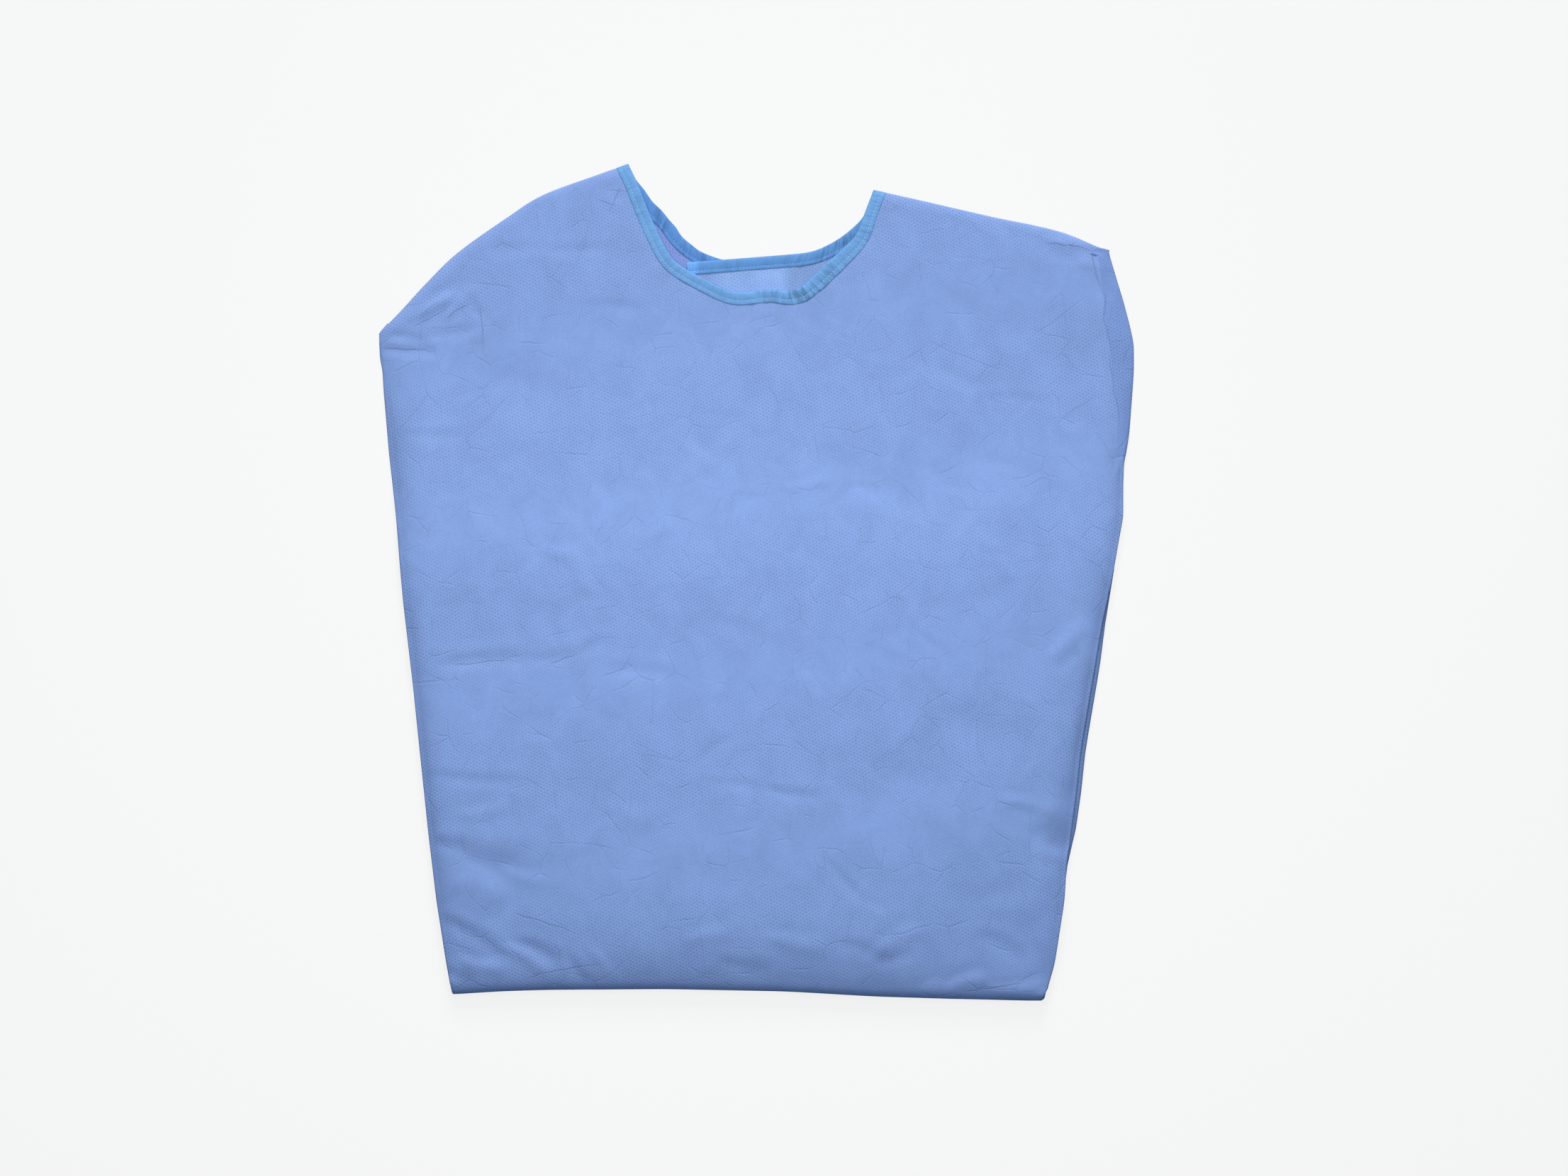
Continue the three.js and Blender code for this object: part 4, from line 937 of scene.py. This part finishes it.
def finish_cloth(material, shader, tone, colour_hex, relief=None):
    """Dyes a material with a colour times its tone, and gives it its relief."""
    dye = vectors(material, "SCALE", [("Scale", tone.outputs[0])], [(0, linear(colour_hex)[:3])])
    links = material.node_tree.links
    links.new(dye.outputs[0], shader.inputs["Base Color"])
    if relief:
        links.new(relief.outputs[0], shader.inputs["Normal"])
    return material


def spunbond(name, colour_hex, shade=0.925, crinkle_depth=0.14, bond_depth=0.22, doubled_and_shaded=(),
             lines=()):
    """Embossed spunbond polypropylene: matte fibres melted together at a lattice of small round
    points, which are darker and dented. Short thin crease lines are scattered over it, drawn darker
    as painted shade in their hollows as well as in relief.
    The bands of (from, to, tone) along the cloth's width are drawn darker: painted shade where the
    front's raised neck edge shades the inner face, and another layer lying right under it.
    lines lists sharp creases, placed as the gown lies, drawn darker as painted shade and in relief."""
    material, shader = start_material(name, 0.85, 0.12, 0.03)
    uv = add_node(material, "ShaderNodeUVMap", uv_map=CLOTH_MAP).outputs[0]
    waves = []
    for degrees in BOND_DIRECTIONS:
        way = [2 * math.pi / (BOND_ROWS * MM) * part
               for part in (math.cos(math.radians(degrees)), math.sin(math.radians(degrees)), 0)]
        phase = vectors(material, "DOT_PRODUCT", [(0, uv)], [(1, way)])
        waves.append(add_node(material, "ShaderNodeMath", [(0, phase.outputs["Value"])],
                              operation="COSINE"))
    waves = joined(material, "ADD", waves)
    bonds = between(material, waves.outputs[0], 0.6, 3.0, 0, 1, "SMOOTHSTEP")
    patches = noise(material, uv, 30, 7, 0.68, 0.6)
    fibres = noise(material, uv, 420, 4, 0.7)

    # Crease marks: the borders of cells of two sizes, bent by noise and kept where noise is high
    bend = noise(material, uv, 22, 2)
    bend = vectors(material, "SUBTRACT", [(0, bend.outputs["Color"])], [(1, (0.5, 0.5, 0.5))])
    bend = vectors(material, "SCALE", [(0, bend.outputs[0])], [("Scale", 0.016)])
    bent = vectors(material, "ADD", [(0, uv), (1, bend.outputs[0])])
    marks = []
    for cells, width, keep in CREASE_MARKS:
        borders = add_node(material, "ShaderNodeTexVoronoi", [("Vector", bent.outputs[0])],
                           [("Scale", cells)], voronoi_dimensions="2D",
                           feature="DISTANCE_TO_EDGE")
        line = between(material, borders.outputs["Distance"], 0, width, 1, 0, "SMOOTHSTEP")
        kept = between(material, noise(material, uv, keep, 2).outputs["Fac"], 0.48, 0.64, 0, 1)
        marks.append(joined(material, "MULTIPLY", [line, kept]))
    marks = joined(material, "MAXIMUM", marks)

    # Tone: random patches, fibres and bond points are the cloth's own; the crease lines are drawn
    # darker as painted shade
    factors = [between(material, patches.outputs["Fac"], 0.3, 0.7, shade, 1.07),
               between(material, fibres.outputs["Fac"], 0.25, 0.75, 0.93, 1.07),
               between(material, bonds.outputs[0], 0, 1, 1.02, 1 - bond_depth),
               between(material, marks.outputs[0], 0, 1, 1.0, CREASE_SHADE_TONE)]
    if lines:
        body = add_node(material, "ShaderNodeTexCoord")
        seen = vectors(material, "ADD", [(0, body.outputs["Object"]), (1, bend.outputs[0])])
        sharp = joined(material, "MAXIMUM", [fine_line(material, seen.outputs[0], *line)
                                             for line in lines])
        # Sharp creases drawn darker: painted shade, and at the seam partly its double layer
        factors.append(between(material, sharp.outputs[0], 0, 1, 1.0, FINE_LINE_SHADE_TONE))
        marks = joined(material, "MAXIMUM", [marks, sharp])
    # Bands drawn darker: painted shade under the front's raised neck edge, with a second layer under
    # them
    if doubled_and_shaded:
        split = add_node(material, "ShaderNodeSeparateXYZ", [(0, uv)])
        for start, end, tone in doubled_and_shaded:
            factors.append(between(material, split.outputs["X"], start, end, 1, tone,
                                   "SMOOTHSTEP"))
    folds = bump(material, marks.outputs[0], crinkle_depth, invert=True)
    dents = bump(material, bonds.outputs[0], DENT_DEPTH, [("Normal", folds.outputs[0])],
                 invert=True)
    tone = joined(material, "MULTIPLY", factors)
    return finish_cloth(material, shader, tone, colour_hex, dents)


def binding_cloth(name, colour_hex, gather, span, pale_end=0.0):
    """A smooth folded strip of the same polypropylene: two layers pressed flat. Where the needle
    drew it in, the gathers lie double and are drawn deeper blue: partly their double layer, partly
    painted shade of the puckers. They set in between the span's first two places along the strip and
    fade between its last two."""
    material, shader = start_material(name, 0.75, 0.15, 0.03)
    uv = add_node(material, "ShaderNodeUVMap", uv_map=CLOTH_MAP).outputs[0]
    squeeze = add_node(material, "ShaderNodeMapping", [("Vector", uv)],
                       [("Rotation", (0, 0, 0.16)), ("Scale", (330, 55, 1))])
    drawn = noise(material, squeeze.outputs[0], 1.0, 2, 0.55)
    fibres = noise(material, uv, 700, 2, 0.6)
    where = noise(material, uv, 38, 1)
    along = add_node(material, "ShaderNodeSeparateXYZ", [(0, uv)]).outputs["X"]
    doubled_and_shaded = joined(material, "MULTIPLY", [
        between(material, drawn.outputs["Fac"], 0.6, 0.4, 0, 1),
        between(material, along, span[0], span[1], 0.3, 1, "SMOOTHSTEP"),
        between(material, along, span[2], span[3], 1, 0.2, "SMOOTHSTEP"),
        between(material, where.outputs["Fac"], 0.38, 0.6, 0.25, 1)])
    # The gathers darken the strip: painted shade of the puckers, and their double layer
    factors = [between(material, doubled_and_shaded.outputs[0], 0, 1, 1.03, 1 - gather),
               between(material, fibres.outputs["Fac"], 0.25, 0.75, 0.93, 1.07)]
    if pale_end:
        factors.append(between(material, along, pale_end, 0.6 * pale_end, 1.0, 1.3))
    gathers = bump(material, drawn.outputs["Fac"], GATHER_DEPTH)
    tone = joined(material, "MULTIPLY", factors)
    return finish_cloth(material, shader, tone, colour_hex, gathers)


def sewing_thread(name, colour_hex):
    """Spun polyester thread: slightly shiny, two plies twisted, seen as light and dark slants."""
    material, shader = start_material(name, 0.55, 0.4, 0.2)
    body = add_node(material, "ShaderNodeTexCoord")
    plies = noise(material, body.outputs["Object"], 1500, 1)
    tone = between(material, plies.outputs["Fac"], 0.3, 0.7, 0.85, 1.1)
    return finish_cloth(material, shader, tone, colour_hex)


def colour(label, of, default):
    """A property for the sRGB hex colour of something."""
    return bpy.props.StringProperty(name=label, description="sRGB hex colour of " + of,
                                    default=default)


def measure(label, description, default, low, high, unit="LENGTH"):
    """A property for a number with its limits."""
    return bpy.props.FloatProperty(name=label, description=description, default=default,
                                   min=low, max=high, unit=unit)


class GownCloth(bpy.types.PropertyGroup):
    """Sizes and colours of the gown's cloth"""
    thickness: measure("Cloth thickness", "Thickness of one sheet with the air in it",
                       0.0008, 0.0003, 0.0015)
    front_colour: colour("Outside colour", "the outer face", "87A3DA")
    # The right sleeve's colour is the front's colour drawn darker: painted shade for its side that
    # turns away from the light
    shaded_sleeve_colour: colour("Sleeve colour", "the right sleeve, darker as painted shade", "7F9BD4")
    inside_colour: colour("Inside colour", "the inner face", "90B0E6")
    # The left back's inner face is drawn darker than the right back's: painted shade where it lies
    # low under the bindings, and a second layer under it
    shaded_doubled_colour: colour("Doubled colour in shade", "the inner face in painted shade, over another layer", "8298D6")


class GownTrim(bpy.types.PropertyGroup):
    """Sizes and colours of the bindings and their stitches"""
    binding_colour: colour("Binding colour", "the front's binding", "70A3D8")
    # The backs' bindings are the front's strip drawn darker: painted shade where they lie low behind
    # the front, the left one gathered as well
    shaded_right_binding_colour: colour("Right back binding colour", "the right back's binding",
                                 "6499D4")
    shaded_left_binding_colour: colour("Left back binding colour",
                                "the left back's binding in painted shade, gathered double", "5F93D4")
    thread_colour: colour("Thread colour", "the front's stitches", "9DC3EC")
    dark_thread_colour: colour("Thread colour in shade", "the backs' stitches", "4F7FBF")
    stitch_pitch: measure("Stitch pitch", "Distance from one stitch to the next",
                          0.0032, 0.002, 0.006)


class GownStage(bpy.types.PropertyGroup):
    """The floor, the lights and the camera"""
    floor_colour: colour("Floor colour", "the floor", "F7F7F7")
    camera_height: measure("Camera height", "Height of the camera above the gown", 2.6, 1.0, 5.0)
    frame_width: measure("Frame width", "Width that the camera sees at the gown",
                         1.4157, 0.5, 3.0)
    key_power: measure("Key light", "Power of the large light beyond the neck",
                       812.0, 0, 2000, "POWER")
    top_power: measure("Top light", "Power of the soft light overhead", 3.95, 0, 500, "POWER")


# The stage, in metres: half the floor's width, its height, its own colour and glow, the room's
# light, both lamps' places and widths, the place the camera looks at, and half the gown's height
FLOOR_HALF = 20.0
FLOOR_Z = -0.0004
FLOOR_DIFFUSE = "5C5C5C"
FLOOR_GLOW = 0.9
ROOM_COLOUR = (0.56, 0.84, 1.18, 1)
ROOM_STRENGTH = 0.14
KEY_LIGHT = ((0.3, 7.8, 4.0), 3.2)
TOP_LIGHT = ((-0.03, 0.1, 0.95), 0.5)
PHOTO_CENTRE = (0.025, -0.0051)
GOWN_MIDDLE = 0.012


def place_piece(piece, material, node=None):
    """Gives a piece its material, says what it rides on, and hides the solid it stands for."""
    piece.data.materials.clear()
    piece.data.materials.append(material)
    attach(piece, "root")
    if node:
        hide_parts(node)


def place_cloth(name, points, uv, material, node, chosen=None, flipped=False):
    """A grid of points as a sheet of cloth, with its material, and with the solid it stands for
    hidden.
    """
    piece = add_surface(name, points, uv, chosen=chosen)
    if flipped:
        piece.data.flip_normals()
    thicken(piece, bpy.context.scene.gown_cloth.thickness)
    place_piece(piece, material, node)
    return piece


def flat_size(uv):
    """Width and length in metres of the rectangle round places on the flat cloth."""
    return tuple((np.ptp(uv.reshape(-1, 2), axis=0) * MM).tolist())


class GOWN_OT_front(bpy.types.Operator):
    """Make the front with its folded sides and turned-up skirt, and the corners of both sleeves"""
    bl_idname = "gown.front"
    bl_label = "Front and sleeves"

    def execute(self, context):
        cloth = context.scene.gown_cloth
        points, uv, side, count = front_grid()
        j, i = np.indices((points.shape[0] - 1, points.shape[1] - 1))
        seam_column = side + FRONT_CELLS
        underarm = int(np.argmin(np.abs(points[:count, seam_column, 1] - UNDERARM_Y)))
        in_left = (j < LEFT_SLEEVE_ROWS) & (i < side + LEFT_SLEEVE_COLUMNS)
        in_right = (j < underarm) & (i >= seam_column)
        face = spunbond(OUTER_FACE, cloth.front_colour, lines=FINE_LINES)
        # The sleeve's cloth is the front's cloth drawn darker, as painted shade
        shaded_sleeve_face = spunbond(OUTER_FACE + " of the sleeve in painted shade", cloth.shaded_sleeve_colour,
                               lines=FINE_LINES[:4])
        places = uv[:-1, :-1]
        for name, chosen, node, material, flat in (
                ("front_cloth", ~in_left & ~in_right, "front_panel", face, FRONT_CUT),
                ("left_sleeve_cloth", in_left, "left_sleeve", face, flat_size(places[in_left])),
                ("right_sleeve_cloth", in_right, "right_sleeve", shaded_sleeve_face,
                 flat_size(places[in_right]))):
            piece = place_cloth(name, points, uv, material, node, chosen)
            area = grid_area(points, chosen)
            share = area / (flat[0] * flat[1])
            if not CUT_SHARES[0] <= share <= CUT_SHARES[1]:
                raise RuntimeError(f"{name}: the cut is {share:.2f} of its rectangle")
        return {"FINISHED"}


class GOWN_OT_backs(bpy.types.Operator):
    """Make the two backs, whose inner faces show inside the neck"""
    bl_idname = "gown.backs"
    bl_label = "Backs"

    def execute(self, context):
        cloth = context.scene.gown_cloth
        # The inner face is drawn darker towards both ends: painted shade under the front's raised
        # neck edge, and a second layer under it
        pale = spunbond(INNER_FACE, cloth.inside_colour,
                        shade=0.94, crinkle_depth=0.05, bond_depth=0.24,
                        doubled_and_shaded=((0.02, 0.034, 0.8), (-0.025, -0.05, 0.8)))
        # Darker copy of the inner face for the left back: painted shade, where it also lies over a
        # second layer
        doubled_and_shaded = spunbond(INNER_FACE + " over a second layer, in painted shade", cloth.shaded_doubled_colour,
                           shade=0.96, crinkle_depth=0.05, bond_depth=0.24)
        for name, node, parts, ends, height_at, seed, face in (
                ("back_left_cloth", "back_left_panel", (BACK_LEFT_SHOULDER, BACK_LEFT_LINE),
                 (-303, 45), lambda x: np.full_like(x, BACK_HEIGHT), 51, doubled_and_shaded),
                ("back_right_cloth", "back_right_panel", (BACK_RIGHT_LINE, BACK_RIGHT_SHOULDER),
                 (-60, 286), overlap_height, 61, pale)):
            points, flat = back_panel(parts, ends, height_at, seed)
            piece = place_cloth(name, points, flat, face, node)
        return {"FINISHED"}


class GOWN_OT_folded_layers(bpy.types.Operator):
    """Make the hidden back, which shows from below"""
    bl_idname = "gown.folded_layers"
    bl_label = "Folded layers"

    def execute(self, context):
        y = np.linspace(*HIDDEN_ENDS, HIDDEN_POINTS[0])[:, None]
        left = look_up(LEFT_EDGE, y) + HIDDEN_INSET
        right = look_up(RIGHT_EDGE, y) - HIDDEN_INSET
        x = left + (right - left) * np.linspace(0, 1, HIDDEN_POINTS[1])
        y = np.broadcast_to(y, x.shape)
        z = look_up(smooth_table(HIDDEN_HEIGHTS, 1, 3), y)
        z = z + 0.25 * np.abs(lattice_noise(*turned(x, y, 30), 50, 71))
        points = np.dstack([x, y, z])[::-1]
        piece = place_cloth("hidden_back", points, points[..., :2], bpy.data.materials[OUTER_FACE],
                            "folded_layers", flipped=True)
        return {"FINISHED"}


def stitch_row(name, places, heights, pitch, material):
    """One lock stitch after another as small rounded bars. Each bar is a six-sided tube of four
    rings whose radius swells from the ends to the middle, laid along the row of places."""
    step = distances(places)
    centres = np.arange(pitch * 0.5, step[-1], pitch)
    at = places_along(places, step, centres)
    height = np.interp(centres, step, heights)
    way = places_along(places, step, centres + 0.5) - at
    way /= np.maximum(np.linalg.norm(way, axis=1), 1e-6)[:, None]
    sideways = np.column_stack([-way[:, 1], way[:, 0]])
    turn = np.linspace(0, 2 * math.pi, STITCH_SIDES, endpoint=False)
    along, radius = np.array(STITCH_RINGS).T[:, :, None]
    across, up = radius * np.cos(turn), radius * np.sin(turn)
    local = np.dstack([np.broadcast_to(along, across.shape), across, up])[None]
    flat = (at[:, None, None] + local[..., :1] * way[:, None, None]
            + local[..., 1:2] * sideways[:, None, None])
    sink = STITCH_SINK * (local[..., 0] / STITCH_RINGS[-1][0]) ** 2
    z = height[:, None, None] + local[..., 2] - sink
    points = np.concatenate([flat, z[..., None]], axis=3).reshape(-1, 3)
    size = len(STITCH_RINGS) * STITCH_SIDES
    a = np.arange(size - STITCH_SIDES)
    b = a - a % STITCH_SIDES + (a + 1) % STITCH_SIDES
    quads = np.column_stack([a, b, b + STITCH_SIDES, a + STITCH_SIDES])
    starts = np.arange(len(centres))[:, None] * size
    sides = (quads[None] + starts[:, None]).reshape(-1, 4).tolist()
    caps = np.vstack([starts + np.arange(STITCH_SIDES)[::-1],
                      starts + np.arange(size - STITCH_SIDES, size)]).tolist()
    place_piece(new_piece(name, points, sides + caps), material)


# Puckers along each binding: distance along it, width, height, slant
FRONT_PUCKERS = [
    (30, 3, 0.35, 0.2), (58, 4, -0.3, 0.3), (84, 3, 0.4, 0.5), (118, 3, 0.35, -0.3),
    (150, 4, -0.35, 0.2), (172, 2.2, 0.7, 0.3), (180, 2, -0.5, 0.3), (187, 2.2, 0.6, 0.1),
    (204, 2.5, 0.5, -0.2), (214, 2, -0.6, -0.3), (221, 2.2, 0.8, -0.3), (229, 2, -0.6, -0.4),
    (238, 2.5, 0.7, -0.5), (250, 2, -0.5, -0.6), (259, 2.5, 0.6, -0.6), (276, 3, 0.45, -0.7),
    (290, 2.5, -0.5, -0.7), (301, 3, 0.5, -0.5), (322, 3, 0.3, 0.2),
]
BACK_PUCKERS = [
    (18, 3, 0.3, 0.2), (47, 4, -0.25, 0), (72, 3, 0.3, 0.3), (96, 3, -0.3, -0.2),
    (121, 4, 0.3, 0.1), (148, 3, 0.35, 0.4), (170, 4, -0.3, 0),
]


class GOWN_OT_bindings(bpy.types.Operator):
    """Make the three bindings round the neck with their stitches"""
    bl_idname = "gown.bindings"
    bl_label = "Bindings and stitches"

    def execute(self, context):
        trim = context.scene.gown_trim
        strip = binding_cloth(BINDING_CLOTH, trim.binding_colour,
                              0.38, (0.165, 0.21, 0.285, 0.3))
        # The back strips are drawn darker than the front's: painted shade where they lie low behind
        # it
        behind = binding_cloth(BINDING_CLOTH + ", right back", trim.shaded_right_binding_colour,
                               0.42, (0.095, 0.135, 0.4, 0.5), pale_end=0.012)
        shaded = binding_cloth(BINDING_CLOTH + ", left back", trim.shaded_left_binding_colour,
                               0.3, (0.0, 0.02, 0.4, 0.5))
        thread = sewing_thread("Spun polyester thread", trim.thread_colour)
        dark_thread = sewing_thread("Spun polyester thread, in shade", trim.dark_thread_colour)
        cut_left = shoulder_cut(LEFT_SHOULDER, FRONT_NECK_LINE)
        cut_right = shoulder_cut(FRONT_NECK_LINE, RIGHT_SHOULDER)
        front_length, left_length, right_length = (
            distances(line)[-1] for line in (FRONT_NECK_LINE, BACK_LEFT_LINE, BACK_RIGHT_LINE))

        def front_place(depth, shares):
            wide = depth * look_up(FRONT_WIDTHS, shares * front_length)
            return inset_stretch(FRONT_NECK_LINE, wide, shares, cut_left, cut_right, NECK_WINDOW)

        def front_height(place, depth):
            from_edge = (depth - NECK_LIP) * BINDING_WIDTH / (BINDING_WIDTH - NECK_LIP)
            from_shoulder = np.minimum(
                distance_inside(place, LEFT_SHOULDER[-2], LEFT_SHOULDER[-1]),
                distance_inside(place, RIGHT_SHOULDER[0], RIGHT_SHOULDER[1]))
            share = smooth_step((from_shoulder - 0.9 * from_edge) / NECK_RISE)
            return edge_height(place, np.clip(from_shoulder, 0, from_edge), share)

        def left_place(depth, shares):
            bend = corner_trim(BACK_LEFT_SHOULDER, BACK_LEFT_LINE)
            bulge = sum(high * np.exp(-((shares * left_length - at) / reach) ** 2)
                        for at, reach, high in SCALLOPS)
            moved = depth - bulge * (1 - min(depth / BINDING_WIDTH, 1))
            shares = LEFT_STRIP_START + (1 - LEFT_STRIP_START) * shares
            return inset_stretch(BACK_LEFT_LINE, moved, shares, bend, 0, NECK_WINDOW)

        def right_place(depth, shares):
            bend = corner_trim(BACK_RIGHT_LINE, BACK_RIGHT_SHOULDER)
            return inset_stretch(BACK_RIGHT_LINE, depth, RIGHT_STRIP_END * shares, 0, bend,
                                 NECK_WINDOW)

        for start, place_at, height_at, length, puckers, material, sewing, floor in (
                ("front", front_place, front_height, front_length, FRONT_PUCKERS, strip,
                 thread, 0.5),
                ("back_left", left_place, lambda place, depth: np.full(len(place), BACK_HEIGHT),
                 left_length, BACK_PUCKERS, shaded, dark_thread, 0.05),
                ("back_right", right_place, lambda place, depth: overlap_height(place[:, 0]),
                 right_length, BACK_PUCKERS, behind, dark_thread, 0.05)):
            points, uv = binding_surface(place_at, height_at, length, puckers, floor)
            piece = add_surface(start + "_binding", points, uv, closed_across=True)
            close_ends(piece.data, *points.shape[:2])
            piece.data.set_sharp_from_angle(angle=math.radians(BINDING_EDGE_DEGREES))
            place_piece(piece, material, start + "_neck_binding")
            row = place_at(BINDING_PROFILE[STITCH_RING, 0], np.linspace(0, 1, len(points)))
            stitch_row(start + "_stitches", row, points[:, STITCH_RING, 2] + STITCH_LIFT,
                       trim.stitch_pitch / MM, sewing)
        return {"FINISHED"}


class GOWN_OT_stage(bpy.types.Operator):
    """Make the pale floor, the soft studio light and the camera straight above"""
    bl_idname = "gown.stage"
    bl_label = "Stage"

    def execute(self, context):
        stage = context.scene.gown_stage
        scene = context.scene
        scene.view_settings.view_transform = "Standard"
        mesh = bpy.data.meshes.new("floor")
        mesh.from_pydata([(x * FLOOR_HALF, y * FLOOR_HALF, 0)
                          for x, y in ((-1, -1), (1, -1), (1, 1), (-1, 1))], [], [(0, 1, 2, 3)])
        floor = bpy.data.objects.new("floor", mesh)
        scene.collection.objects.link(floor)
        floor.location.z = FLOOR_Z
        floor.visible_diffuse = False
        material, shader = start_material("Matte white paper", 0.95, 0.1, 0.0)
        shader.inputs["Base Color"].default_value = linear(FLOOR_DIFFUSE)
        shader.inputs["Emission Color"].default_value = linear(stage.floor_colour)
        shader.inputs["Emission Strength"].default_value = FLOOR_GLOW
        mesh.materials.append(material)

        world = bpy.data.worlds.new("Studio")
        world.use_nodes = True
        room = world.node_tree.nodes["Background"]
        room.inputs["Color"].default_value = ROOM_COLOUR
        room.inputs["Strength"].default_value = ROOM_STRENGTH
        scene.world = world
        for name, place, size, power in (("key", *KEY_LIGHT, stage.key_power),
                                         ("top", *TOP_LIGHT, stage.top_power)):
            light = bpy.data.lights.new(name, "AREA")
            light.shape, light.size, light.energy = "SQUARE", size, power
            lamp = bpy.data.objects.new(name, light)
            scene.collection.objects.link(lamp)
            lamp.location = place
            lamp.rotation_euler = (-lamp.location).to_track_quat("-Z", "Y").to_euler()

        lens = bpy.data.cameras.new("camera")
        lens.sensor_width = 36
        lens.lens = lens.sensor_width * stage.camera_height / stage.frame_width
        camera = bpy.data.objects.new("camera", lens)
        scene.collection.objects.link(camera)
        camera.location = (*PHOTO_CENTRE, stage.camera_height + GOWN_MIDDLE)
        scene.camera = camera
        return {"FINISHED"}


GROUPS = {"gown_cloth": GownCloth, "gown_trim": GownTrim, "gown_stage": GownStage}
OPERATORS = (GOWN_OT_stage, GOWN_OT_front, GOWN_OT_backs, GOWN_OT_folded_layers, GOWN_OT_bindings)


class GOWN_PT_panel(bpy.types.Panel):
    """Lists the gown's pieces"""
    bl_idname = "GOWN_PT_panel"
    bl_label = "Folded surgical gown"
    bl_space_type = "VIEW_3D"
    bl_region_type = "UI"
    bl_category = "Gown"

    def draw(self, context):
        for group, kind in GROUPS.items():
            for key in kind.__annotations__:
                self.layout.prop(getattr(context.scene, group), key)
        for operator in OPERATORS:
            self.layout.operator(operator.bl_idname)


CLASSES = (*GROUPS.values(), *OPERATORS, GOWN_PT_panel)


def register():
    for kind in CLASSES:
        bpy.utils.register_class(kind)
    for group, kind in GROUPS.items():
        setattr(bpy.types.Scene, group, bpy.props.PointerProperty(type=kind))


def unregister():
    for group in GROUPS:
        delattr(bpy.types.Scene, group)
    for kind in reversed(CLASSES):
        bpy.utils.unregister_class(kind)


def main():
    """Builds every piece and the stage."""
    register()
    bpy.ops.gown.stage()
    bpy.ops.gown.front()
    bpy.ops.gown.backs()
    bpy.ops.gown.folded_layers()
    bpy.ops.gown.bindings()
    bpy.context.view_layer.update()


if __name__ == "__main__":
    main()
